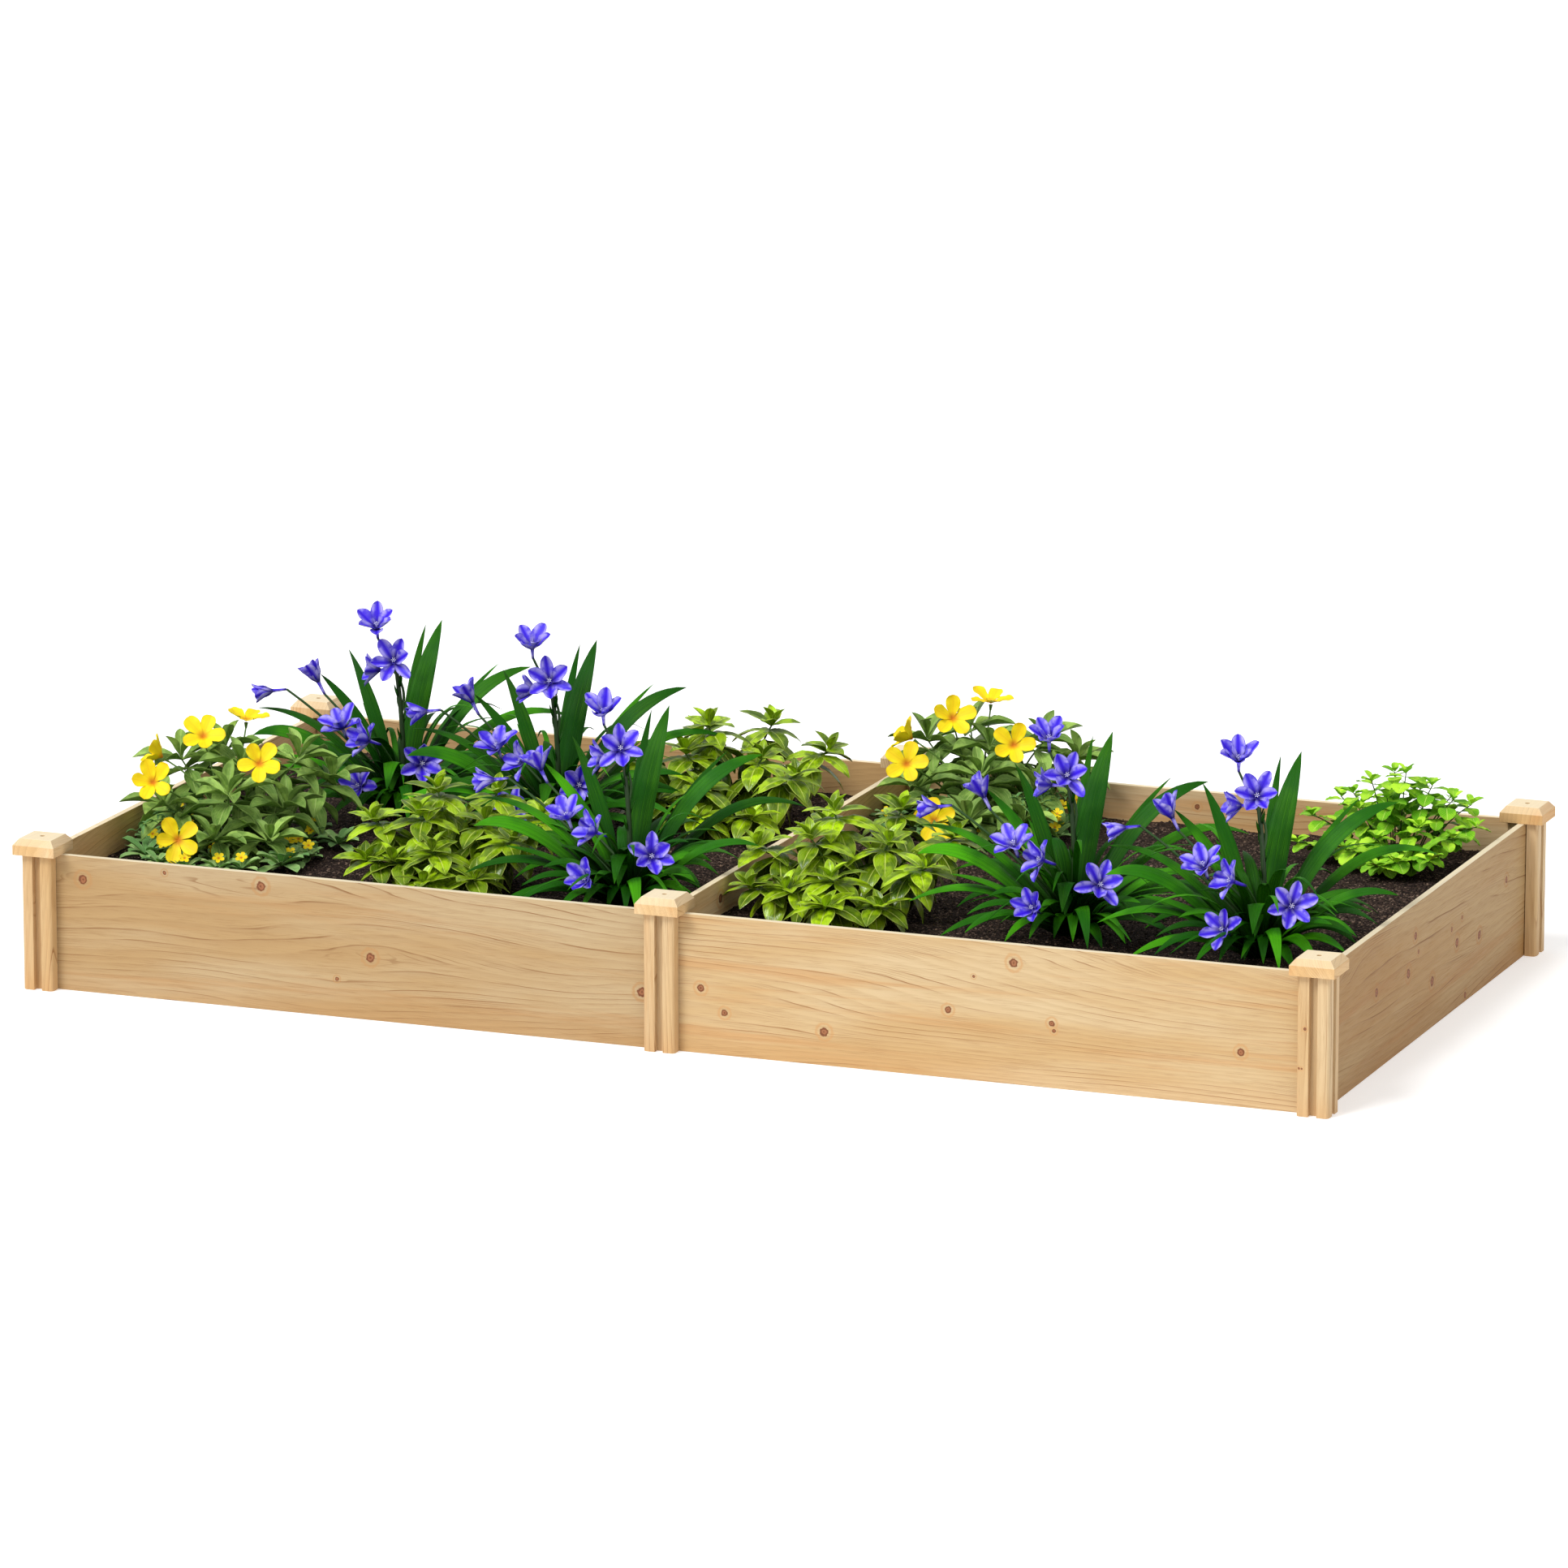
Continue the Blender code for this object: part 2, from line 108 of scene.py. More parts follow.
def profile(*knots):
    """A smooth function through (place, value) pairs."""
    spots = np.array([knot[0] for knot in knots], dtype=float)
    values = np.array([knot[1] for knot in knots], dtype=float)
    slopes = np.gradient(values, spots)

    def value_at(place):
        index = int(min(max(np.searchsorted(spots, place) - 1, 0), len(spots) - 2))
        gap = spots[index + 1] - spots[index]
        share = min(max((place - spots[index]) / gap, 0.0), 1.0)
        rest = 1.0 - share
        first = values[index] * (1.0 + 2.0 * share) * rest ** 2
        second = values[index + 1] * (3.0 - 2.0 * share) * share ** 2
        lean = gap * share * rest * (slopes[index] * rest - slopes[index + 1] * share)
        return float(first + second + lean)

    return value_at


def add_object(name, data):
    made = bpy.data.objects.new(name, data)
    bpy.context.collection.objects.link(made)
    return made


def store(mesh, label, kind, values):
    """Keep a number or a vector for each point of a mesh."""
    values = np.asarray(values, dtype=np.int32 if kind == "INT" else np.float32)
    field = "vector" if kind == "FLOAT_VECTOR" else "value"
    mesh.attributes.new(label, kind, "POINT").data.foreach_set(field, values.ravel())


def solid_shape(node):
    """A CAD solid's shape, its loose triangles joined into whole flat faces."""
    shape = bmesh.new()
    shape.from_mesh(frame["nodes"][node].data)
    bmesh.ops.remove_doubles(shape, verts=shape.verts, dist=JOIN)
    bmesh.ops.dissolve_limit(shape, angle_limit=radians(1), verts=shape.verts, edges=shape.edges)
    return shape


def mesh_of(name, shape):
    mesh = bpy.data.meshes.new(name)
    shape.to_mesh(mesh)
    shape.free()
    return mesh


def smooth(mesh, sharp_from):
    mesh.shade_smooth()
    mesh.set_sharp_from_angle(angle=radians(sharp_from))


def settle(piece):
    """Turn a piece with modifiers into a plain mesh."""
    bpy.context.view_layer.update()
    mesh = bpy.data.meshes.new_from_object(piece.evaluated_get(bpy.context.evaluated_depsgraph_get()))
    piece.modifiers.clear()
    piece.data = mesh
    mesh.name = piece.name
    return piece


def finish_piece(piece, node, slot):
    """Hang a finished piece on the frame's root body and hide the CAD part it stands for; slot, where its
    finish would come from, is not used.
    """
    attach(piece, "root")
    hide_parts(node)


def tint(red, green, blue):
    """A colour given as it looks on a screen, 0 to 255, in the shader's linear values."""
    parts = [channel / 255.0 for channel in (red, green, blue)]
    return tuple(part / 12.92 if part <= 0.04045 else ((part + 0.055) / 1.055) ** 2.4 for part in parts)


# ---- node trees ----
class Nodes:
    """A node tree, with short calls to add nodes and join them."""

    def __init__(self, tree):
        self.tree = tree

    def feed(self, target, value):
        if isinstance(value, bpy.types.NodeSocket):
            self.tree.links.new(value, target)
        else:
            target.default_value = value

    def put_out(self, end, **values):
        for label, value in values.items():
            self.feed(end[label], value)

    def add(self, kind, inputs=None, **settings):
        node = self.tree.nodes.new(kind)
        for key, value in settings.items():
            setattr(node, key, value)
        for key, value in (inputs or {}).items():
            self.feed(node.inputs[key], value)
        return node

    def math(self, operation, first, second=0.0):
        return self.add("ShaderNodeMath", {0: first, 1: second}, operation=operation).outputs[0]

    def plus(self, first, second):
        return self.math("ADD", first, second)

    def minus(self, first, second):
        return self.math("SUBTRACT", first, second)

    def times(self, first, second):
        return self.math("MULTIPLY", first, second)

    def most(self, first, second):
        return self.math("MAXIMUM", first, second)

    def off(self, value, middle):
        """How far a value is from a middle one."""
        return self.math("ABSOLUTE", self.minus(value, middle))

    def vector(self, operation, first, second=(0.0, 0.0, 0.0)):
        node = self.add("ShaderNodeVectorMath", {0: first, 1: second}, operation=operation)
        return node.outputs["Value" if operation == "LENGTH" else "Vector"]

    def parts(self, vector):
        return self.add("ShaderNodeSeparateXYZ", {0: vector}).outputs

    def cube(self, side):
        """A vector with the same number three times."""
        return self.add("ShaderNodeCombineXYZ", {0: side, 1: side, 2: side}).outputs[0]

    def spread(self, value, low, high, to_low=0.0, to_high=1.0):
        inputs = {0: value, 1: low, 2: high, 3: to_low, 4: to_high}
        return self.add("ShaderNodeMapRange", inputs, interpolation_type="SMOOTHSTEP").outputs[0]

    def noise(self, vector, stretch, detail=2.0, roughness=0.5):
        """Smooth noise whose grains are 1/stretch long on each axis."""
        inputs = {"Vector": self.vector("MULTIPLY", vector, stretch), "Scale": 1.0, "Detail": detail,
                  "Roughness": roughness}
        return self.add("ShaderNodeTexNoise", inputs).outputs["Fac"]

    def blend(self, share, first, second):
        node = self.add("ShaderNodeMix", {0: share}, data_type="RGBA")
        for socket, color in ((6, first), (7, second)):
            plain = not isinstance(color, bpy.types.NodeSocket)
            self.feed(node.inputs[socket], (*color, 1.0) if plain else color)
        return node.outputs[2]

    def coats(self, color, *coats):
        """Lay colours over one another, each by its mask: (colour, mask, share where the mask is 1),
        or (colour, mask, value where it starts, value where it is full, share where it is full)."""
        for over, mask, *ends, share in coats:
            amount = self.spread(mask, *ends, 0.0, share) if ends else self.times(mask, share)
            color = self.blend(amount, color, over)
        return color

    def attribute(self, name, kind):
        return self.add("ShaderNodeAttribute", attribute_name=name).outputs[kind]

    def own_place(self):
        return self.add("ShaderNodeTexCoord").outputs["Object"]

    def dress(self, surface, color, height, distance, strength=1.0):
        """Give a shader its colour and its relief."""
        relief = self.add("ShaderNodeBump", {"Height": height, "Strength": strength, "Distance": distance})
        self.feed(surface.inputs["Base Color"], color)
        self.feed(surface.inputs["Normal"], relief.outputs[0])

    def use(self, group, **inputs):
        node = self.add("ShaderNodeGroup", node_tree=group)
        for key, value in inputs.items():
            self.feed(node.inputs[key.replace("_", " ")], value)
        return node.outputs

    def lot(self, seed, step):
        """A random share for each point."""
        inputs = {2: 0.0, 3: 1.0, "Seed": self.plus(seed, step)}
        return self.add("FunctionNodeRandomValue", inputs).outputs[1]

    def point_value(self, name, kind):
        return self.add("GeometryNodeInputNamedAttribute", {"Name": name}, data_type=kind).outputs[0]

    def copies(self, points, shape, angles, scale, **picked):
        turn = self.add("FunctionNodeEulerToRotation", {0: angles}).outputs[0]
        inputs = {"Points": points, "Instance": shape, "Rotation": turn, "Scale": scale}
        inputs.update({key.replace("_", " "): value for key, value in picked.items()})
        return self.add("GeometryNodeInstanceOnPoints", inputs).outputs[0]

    def painted(self, geometry, material, spent=()):
        """Copies made plain, rid of the values that placed them, and given their material."""
        geometry = self.add("GeometryNodeRealizeInstances", {0: geometry}).outputs[0]
        for name in spent:
            inputs = {"Geometry": geometry, "Name": name}
            geometry = self.add("GeometryNodeRemoveAttribute", inputs).outputs[0]
        return self.add("GeometryNodeSetMaterial", {"Geometry": geometry, "Material": material}).outputs[0]


def new_material(name, roughness, **fixed):
    """A finish, its nodes and its shader; numbers that never vary are set on the shader itself."""
    material = bpy.data.materials.new(name)
    material.use_nodes = True
    surface = material.node_tree.nodes["Principled BSDF"]
    surface.inputs["Roughness"].default_value = roughness
    for key, value in fixed.items():
        surface.inputs[key.replace("_", " ")].default_value = value
    FINISHES[name] = material
    return Nodes(material.node_tree), surface


def new_group(name, kind, inputs, outputs, output_kind="Float"):
    """An empty node group with named sockets: its nodes, what comes in and what goes out."""
    tree = bpy.data.node_groups.new(name, kind)
    for label, socket, default in inputs:
        made = tree.interface.new_socket(label, in_out="INPUT", socket_type=f"NodeSocket{socket}")
        if default is not None:
            made.default_value = default
    for label in outputs:
        tree.interface.new_socket(label, in_out="OUTPUT", socket_type=f"NodeSocket{output_kind}")
    start = tree.nodes.new("NodeGroupInput")
    end = tree.nodes.new("NodeGroupOutput")
    return Nodes(tree), start.outputs, end.inputs


def run_tree(name, mesh, tree, **inputs):
    """Pass a mesh through a geometry tree and keep the result as a plain piece."""
    piece = add_object(name, mesh)
    modifier = piece.modifiers.new(tree.name, "NODES")
    modifier.node_group = tree
    sockets = {item.name: item.identifier for item in tree.interface.items_tree if item.in_out == "INPUT"}
    for key, value in inputs.items():
        modifier[sockets[key]] = value
    return settle(piece)


# ---- fir ----
FIR_PALE = tint(216, 188, 145)
FIR_WARM = tint(204, 166, 114)
FIR_LINE = tint(156, 110, 66)
FIR_STREAK = tint(204, 152, 96)
# Painted highlight: the pale cream laid on faces of the fir that look up.
FIR_PAINTED_TOP_HIGHLIGHT = tint(255, 245, 214)
FIR_DARK = tint(92, 48, 26)
KNOT_HEART = tint(150, 92, 58)
EASED_EDGE = 0.0009
# How far along, across and through its own tree each next piece is cut, so that no two grains match.
GRAIN_SHIFTS = (3.7, 1.3, 0.9)


def make_knot_group():
    """One knot: where it is, and how far it pushes the growth lines aside."""
    passed_on = ("Heart", "Ring", "Halo", "Push")
    nodes, start, end = new_group(
        "fir_knot", "ShaderNodeTree",
        [("Grain", "Vector", None), ("Centre", "Vector", None), ("Radius", "Float", 0.006),
         *((label, "Float", 0.0) for label in passed_on)], passed_on)
    away = nodes.vector("SUBTRACT", start["Grain"], start["Centre"])
    away = nodes.vector("MULTIPLY", away, (1.0, 1.0, 0.0))
    ragged = nodes.times(nodes.noise(start["Grain"], (150.0, 150.0, 0.0)), 0.8)
    reach = nodes.math("DIVIDE", nodes.vector("LENGTH", away), nodes.times(start["Radius"], 1.25))
    reach = nodes.plus(reach, ragged)
    heart = nodes.spread(reach, 1.45, 1.25)
    ring = nodes.most(nodes.spread(nodes.off(reach, 1.15), 0.30, 0.05), nodes.spread(reach, 0.80, 0.45))
    halo = nodes.spread(nodes.off(reach, 2.2), 0.50, 0.10)
    drawn = nodes.vector("LENGTH", nodes.vector("MULTIPLY", away, (0.22, 1.0, 0.0)))
    near = nodes.math("DIVIDE", drawn, nodes.times(start["Radius"], 1.4))
    fall = nodes.math("DIVIDE", 1.0, nodes.plus(1.0, nodes.times(near, near)))
    push = nodes.times(nodes.parts(away)[1], nodes.times(fall, 0.9))
    nodes.put_out(end, Heart=nodes.most(heart, start["Heart"]), Ring=nodes.most(ring, start["Ring"]),
                  Halo=nodes.most(halo, start["Halo"]), Push=nodes.plus(push, start["Push"]))
    return nodes.tree


def make_grain_group():
    """Planed fir: growth lines that wander along the board, with fine fibres between them."""
    nodes, start, end = new_group(
        "fir_grain", "ShaderNodeTree", [("Grain", "Vector", None), ("Push", "Float", 0.0)],
        ("Line", "Tone", "Fibre", "Streak"))
    grain = start["Grain"]
    wander = nodes.noise(grain, (0.65, 2.6, 3.0), roughness=0.35)
    ripple = nodes.noise(grain, (5.0, 40.0, 10.0))
    depth = nodes.minus(nodes.parts(grain)[1], start["Push"])
    rings = nodes.plus(nodes.times(depth, 88.0), nodes.times(wander, 34.0))
    rings = nodes.plus(rings, nodes.times(ripple, 0.7))
    saw = nodes.math("FRACT", rings)
    peak = nodes.times(nodes.spread(saw, 0.80, 0.96), nodes.spread(saw, 1.00, 0.97))
    soft = nodes.times(nodes.spread(saw, 0.10, 0.90), nodes.spread(saw, 1.00, 0.90))
    fade = nodes.noise(grain, (3.0, 34.0, 9.0))
    line = nodes.times(peak, nodes.spread(fade, 0.44, 0.66, 0.05, 1.0))
    line = nodes.most(line, nodes.times(soft, 0.16))
    hair = nodes.math("FRACT", nodes.times(rings, 3.7))
    hair = nodes.times(nodes.spread(hair, 0.70, 0.92), nodes.spread(hair, 1.00, 0.94))
    patch = nodes.noise(grain, (4.5, 22.0, 9.0), 3.0)
    line = nodes.most(line, nodes.times(hair, nodes.spread(patch, 0.48, 0.68, 0.0, 0.75)))
    nodes.put_out(end, Line=line, Tone=nodes.noise(grain, (1.4, 8.0, 7.0), 3.0),
                  Fibre=nodes.noise(grain, (22.0, 620.0, 620.0), 3.0, 0.6),
                  Streak=nodes.noise(grain, (1.1, 26.0, 12.0), 4.0, 0.6))
    return nodes.tree


def make_fir(name, knots, groups, depth):
    """Fir for one board or for all the posts or caps, with its knots at (along, across, radius)."""
    nodes, surface = new_material(name, 0.62, Specular_IOR_Level=0.3)
    grain_group, knot_group = groups
    grain = nodes.attribute("grain", "Vector")
    heart, ring, halo, push = 0.0, 0.0, 0.0, 0.0
    for along, across, radius in knots:
        knot = nodes.use(knot_group, Grain=grain, Centre=(along, across, 0.0), Radius=radius,
                         Heart=heart, Ring=ring, Halo=halo, Push=push)
        heart, ring, halo, push = knot["Heart"], knot["Ring"], knot["Halo"], knot["Push"]
    wood = nodes.use(grain_group, Grain=grain, Push=push)
    # depth is the piece's red, green and blue share: its own tone, and on some pieces painted shade or
    # painted light.
    pale, warm, line, streak = ([channel * share for channel, share in zip(color, depth)]
                                for color in (FIR_PALE, FIR_WARM, FIR_LINE, FIR_STREAK))
    height = nodes.parts(nodes.own_place())[2]
    # rise is how far each face looks up: the painted highlight below pales the tops by it.
    rise = nodes.parts(nodes.add("ShaderNodeNewGeometry").outputs["Normal"])[2]
    color = nodes.coats(pale, (warm, wood["Tone"], 0.36, 0.62, 1.0),
                        (streak, wood["Streak"], 0.52, 0.70, 0.60), (streak, height, 0.050, 0.0, 0.28),
                        (line, wood["Line"], 0.95), (line, wood["Fibre"], 0.50, 0.74, 0.34),
                        (FIR_PAINTED_TOP_HIGHLIGHT, rise, 0.45, 0.90, 0.62))
    if knots:
        color = nodes.coats(color, (streak, halo, 0.60), (KNOT_HEART, heart, 0.92), (FIR_DARK, ring, 0.72))
    relief = nodes.plus(nodes.times(wood["Line"], 0.5), nodes.times(wood["Fibre"], 0.5))
    nodes.dress(surface, color, relief, 0.0004, 0.35)
    nodes.feed(surface.inputs["Roughness"], nodes.spread(wood["Fibre"], 0.2, 0.8, 0.55, 0.72))


# Knots: how far along the board's own axis, how high from the ground, and their radius.
KNOTS = {
    "board_front_left": (
        (-1099, 203, 7), (-756, 221, 7), (-549, 112, 7), (-941, 229, 3), (-613, 68, 3), (-40, 98, 7),
    ),
    "board_front_right": (
        (69, 115, 5.5), (113, 75, 5), (296, 59, 6.5), (521, 119, 5), (639, 212, 6.5), (708, 113, 4.5),
        (712, 100, 3), (1045, 95, 5.5), (567, 182, 2.2),
    ),
    "board_side_right": (
        (-295, 138, 6.5), (-116, 129, 7.5), (21, 83, 7.5), (163, 119, 7), (-79, 187, 6), (295, 102, 7),
        (453, 166, 5.5), (216, 12, 5), (191, 158, 3.5), (131, 150, 4), (-60, 155, 3.5),
    ),
    "board_back_left": ((-900, 130, 8), (-420, 90, 7), (-240, 190, 5)),
    "board_back_right": ((180, 180, 4.5), (560, 215, 4), (900, 100, 6)),
    "board_side_left": ((-300, 100, 7), (120, 170, 8), (400, 80, 6)),
    "board_divider": ((-350, 210, 7), (90, 215, 6)),
    "post_front_right": ((152, 1165, 2.2), (83, 1155, 1.8), (83, 1160, 1.6)),
}
# How dark or pale a piece of fir is beside the plain boards: red, green and blue. Partly the wood's own
# tone, partly painted shade and painted light: the right side board is darkened as the shaded side, and the
# left side board and the divider are paled against the shade on their inner faces.
FIR_TONES_WITH_PAINTED_LIGHT_AND_SHADE = {"posts": (0.90, 0.90, 0.90), "caps": (1.06, 1.06, 1.06),
             "board_front_left": (0.69, 0.70, 0.70), "board_front_right": (0.85, 0.88, 0.90),
             "board_side_right": (0.59, 0.53, 0.42), "board_side_left": (1.20, 1.20, 1.20),
             "board_divider": (1.20, 1.20, 1.20), "post_front_right": (0.90, 0.90, 0.90)}


def grain_axes(node):
    """The axis numbers along which a piece's grain, width and thickness lie."""
    if node.startswith("post"):
        return 2, 0, 1
    if node.startswith("cap"):
        return 1, 0, 2
    return (1, 2, 0) if node.startswith(("board_side", "board_divider")) else (0, 2, 1)


def make_timber(node, finish, shift):
    """A piece of the frame as its solid has it, with eased edges and the grain along its length."""
    mesh = mesh_of(f"timber_{node}", solid_shape(node))
    piece = add_object(f"timber_{node}", mesh)
    ease = piece.modifiers.new("eased_edges", "BEVEL")
    ease.width = EASED_EDGE
    ease.segments = 2
    ease.angle_limit = radians(28)
    flats = piece.modifiers.new("flat_faces", "WEIGHTED_NORMAL")
    flats.weight = 100
    mesh.shade_smooth()
    settle(piece)
    places = np.empty(len(piece.data.vertices) * 3, dtype=np.float32)
    piece.data.vertices.foreach_get("co", places)
    grain = places.reshape(-1, 3)[:, grain_axes(node)] + np.array(shift, dtype=np.float32)
    store(piece.data, "grain", "FLOAT_VECTOR", grain)
    piece.data.materials.clear()
    piece.data.materials.append(FINISHES[finish])
    finish_piece(piece, node, "fir")


def make_timbers():
    groups = make_grain_group(), make_knot_group()
    for kind in ("posts", "caps"):
        make_fir(f"fir_{kind}", (), groups, FIR_TONES_WITH_PAINTED_LIGHT_AND_SHADE[kind])
    timbers = [node for node in sorted(frame["nodes"]) if node.startswith(("post_", "cap_", "board_"))]
    for number, node in enumerate(timbers):
        if node.startswith("cap_screw"):
            continue
        shift = [number * step for step in GRAIN_SHIFTS]
        finish = "fir_caps" if node.startswith("cap") else "fir_posts"
        if node in KNOTS:
            finish = f"fir_{node}"
            knots = [metres(knot) for knot in KNOTS[node]]
            knots = [(along + shift[0], across + shift[1], radius) for along, across, radius in knots]
            make_fir(finish, knots, groups, FIR_TONES_WITH_PAINTED_LIGHT_AND_SHADE.get(node, (1.0, 1.0, 1.0)))
        make_timber(node, finish, shift)


def make_screws():
    """The screws keep their solids and get dull zinc with fine mottled stains."""
    nodes, surface = new_material("zinc", 0.45, Metallic=0.9)
    stain = nodes.noise(nodes.own_place(), (900.0,) * 3, 3.0)
    nodes.dress(surface, nodes.blend(stain, tint(96, 92, 88), tint(150, 148, 142)), stain, 0.0001, 0.5)
    nodes.feed(surface.inputs["Roughness"], nodes.spread(stain, 0.3, 0.7, 0.35, 0.6))
    for node, screw in frame["nodes"].items():
        if node.startswith("cap_screw"):
            for slot in screw.material_slots:
                slot.material = FINISHES["zinc"]


# ---- soil ----
SOIL_PITCH = 0.011
MOUND_HEIGHT = 0.007
MOUND_AREA = 0.018
SMALLEST_CRUMB = 0.0013
LARGEST_CRUMB = 0.0040
CRUMBS_PER_SQUARE_METRE = 7500.0


def soil_rise(x, y):
    """How far the raked surface stands above or below the soil's mean height."""
    broad = noise.fractal(Vector((x * 7.0, y * 7.0, 0.3)), 1.0, 2.0, 3) * 0.0045
    fine = noise.fractal(Vector((x * 60.0, y * 60.0, 4.1)), 0.8, 2.0, 2) * 0.0016
    crowns = LILY_PLACES + SHRUB_PLACES + YELLOW_PLACES + (HERB_PLACE,)
    spans = [(x - cx) ** 2 + (y - cy) ** 2 for cx, cy in crowns]
    mound = sum(MOUND_HEIGHT * max(0.0, 1.0 - span / MOUND_AREA) for span in spans)
    return broad + fine + mound


def make_crumb():
    """One crumb of soil: a rough little lump."""
    shape = bmesh.new()
    bmesh.ops.create_cone(shape, segments=4, radius1=1.0, radius2=0.55, depth=1.3, cap_ends=True)
    chance = Random(5)
    for vertex in shape.verts:
        vertex.co *= chance.uniform(0.7, 1.25)
    bmesh.ops.triangulate(shape, faces=shape.faces)
    mesh = mesh_of("crumb", shape)
    mesh.shade_smooth()
    return bpy.data.objects.new("crumb", mesh)


def make_crumb_tree():
    """Geometry nodes that scatter one crumb over a surface, each turned and sized by chance."""
    nodes, start, end = new_group(
        "soil_crumbs", "GeometryNodeTree",
        [("Surface", "Geometry", None), ("Crumb", "Object", None), ("Density", "Float", 100.0),
         ("Smallest", "Float", 0.002), ("Largest", "Float", 0.005), ("Seed", "Int", 1),
         ("Material", "Material", None)], ["Crumbs"], "Geometry")
    seed = start["Seed"]
    inputs = {"Mesh": start["Surface"], "Density": start["Density"], "Seed": seed}
    points = nodes.add("GeometryNodeDistributePointsOnFaces", inputs).outputs["Points"]
    crumb = nodes.add("GeometryNodeObjectInfo", {"Object": start["Crumb"]}).outputs["Geometry"]
    angles = nodes.add("FunctionNodeRandomValue", {0: (0.0,) * 3, 1: (tau,) * 3, "Seed": seed},
                       data_type="FLOAT_VECTOR").outputs[0]
    share = nodes.math("POWER", nodes.lot(seed, 1.0), 2.2)
    reach = nodes.minus(start["Largest"], start["Smallest"])
    width = nodes.plus(start["Smallest"], nodes.times(reach, share))
    marked = nodes.add("GeometryNodeStoreNamedAttribute",
                       {"Geometry": nodes.copies(points, crumb, angles, nodes.cube(width)), "Name": "shade",
                        "Value": nodes.lot(seed, 2.0)}, data_type="FLOAT", domain="INSTANCE").outputs[0]
    nodes.put_out(end, Crumbs=nodes.painted(marked, start["Material"]))
    return nodes.tree


def make_soil_finishes():
    nodes, surface = new_material("soil_ground", 0.95, Specular_IOR_Level=0.15)
    place = nodes.own_place()
    squashed = nodes.vector("MULTIPLY", place, (1.0, 1.0, 1.7))
    cells = nodes.add("ShaderNodeTexVoronoi", {"Vector": squashed, "Scale": 300.0}).outputs
    cell_shade = nodes.parts(cells["Color"])[0]
    color = nodes.coats(tint(30, 22, 18), (tint(84, 66, 56), cell_shade, 0.25, 0.85, 1.0),
                        (tint(150, 126, 110), cell_shade, 0.88, 0.97, 1.0),
                        (tint(32, 23, 19), nodes.noise(place, (9.0,) * 3, 3.0), 0.35, 0.65, 0.5))
    nodes.dress(surface, color, nodes.times(cells["Distance"], -1.0), 0.004)
    nodes, surface = new_material("soil_crumbs", 0.85, Specular_IOR_Level=0.3)
    shade = nodes.attribute("shade", "Fac")
    grit = nodes.noise(nodes.own_place(), (700.0,) * 3)
    color = nodes.coats(tint(40, 28, 24), (tint(140, 116, 98), shade, 0.70, 1.0, 1.0),
                        (tint(20, 14, 12), shade, 0.4, 0.0, 0.7), (tint(74, 56, 46), grit, 0.3, 0.8, 0.4))
    nodes.dress(surface, color, grit, 0.001)


def make_soil(node, seed, tree, crumb):
    """A bed of soil with a raked, crumbly top inside the solid's own outline."""
    low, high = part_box(node)
    level = high.z - 0.001

    def on_top(face):
        return face.normal.z > 0.9 and face.calc_center_median().z > level

    shape = solid_shape(node)
    for axis in (0, 1):
        steps = int((high[axis] - low[axis]) / SOIL_PITCH)
        normal = Vector((1.0 - axis, float(axis), 0.0))
        for step in range(1, steps):
            centre = normal * mix(low[axis], high[axis], step / steps)
            top = [face for face in shape.faces if on_top(face)]
            edges = {edge for face in top for edge in face.edges}
            points = {vertex for face in top for vertex in face.verts}
            bmesh.ops.bisect_plane(shape, geom=[*top, *edges, *points], dist=JOIN, plane_co=centre,
                                   plane_no=normal)
    for vertex in shape.verts:
        if vertex.co.z > level:
            vertex.co.z += soil_rise(vertex.co.x, vertex.co.y)
    top_shape = shape.copy()
    ground = mesh_of(f"ground_{node}", shape)
    ground.materials.append(FINISHES["soil_ground"])
    smooth(ground, 50)
    finish_piece(add_object(f"ground_{node}", ground), node, "soil")
    side_faces = [face for face in top_shape.faces if face.normal.z < 0.5]
    bmesh.ops.delete(top_shape, geom=side_faces, context="FACES")
    crumbs = run_tree(f"crumbs_{node}", mesh_of(f"top_{node}", top_shape), tree, Crumb=crumb,
                      Density=CRUMBS_PER_SQUARE_METRE, Smallest=SMALLEST_CRUMB, Largest=LARGEST_CRUMB,
                      Seed=seed, Material=FINISHES["soil_crumbs"])
    finish_piece(crumbs, node, "soil")


def make_soils():
    make_soil_finishes()
    tree = make_crumb_tree()
    crumb = make_crumb()
    make_soil("soil_left", 3, tree, crumb)
    make_soil("soil_right", 13, tree, crumb)
    bpy.data.objects.remove(crumb)


# ---- thin shapes: leaves and petals ----
class Sheets:
    """Gathers leaves or petals as grids of points and gives them all one thickness."""

    def __init__(self):
        self.points = []
        self.faces = []
        self.marks = []
        self.shades = []

    def add(self, place, rows, columns, shade=0.5):
        """Add one sheet: place(along, across) gives its points, along 0 to 1 and across -1 to 1."""
        start = len(self.points)
        for row in range(rows + 1):
            for column in range(columns + 1):
                self.points.append(place(row / rows, 2.0 * column / columns - 1.0))
                self.marks.append((column / columns, row / rows))
                self.shades.append(shade)
        for row in range(rows):
            for column in range(columns):
                corner = start + row * (columns + 1) + column
                self.faces.append((corner, corner + columns + 1, corner + columns + 2, corner + 1))

    def make(self, name, thickness):
        mesh = bpy.data.meshes.new(name)
        mesh.from_pydata(self.points, [], self.faces)
        corners = np.empty(len(mesh.loops), dtype=np.int32)
        mesh.loops.foreach_get("vertex_index", corners)
        marks = np.array(self.marks, dtype=np.float32)[corners]
        mesh.uv_layers.new(name="leaf").uv.foreach_set("vector", marks.ravel())
        store(mesh, "shade", "FLOAT", self.shades)
        piece = add_object(name, mesh)
        wall = piece.modifiers.new("thickness", "SOLIDIFY")
        wall.thickness = thickness
        wall.offset = 0.0
        settle(piece)
        smooth(piece.data, 55)
        return piece


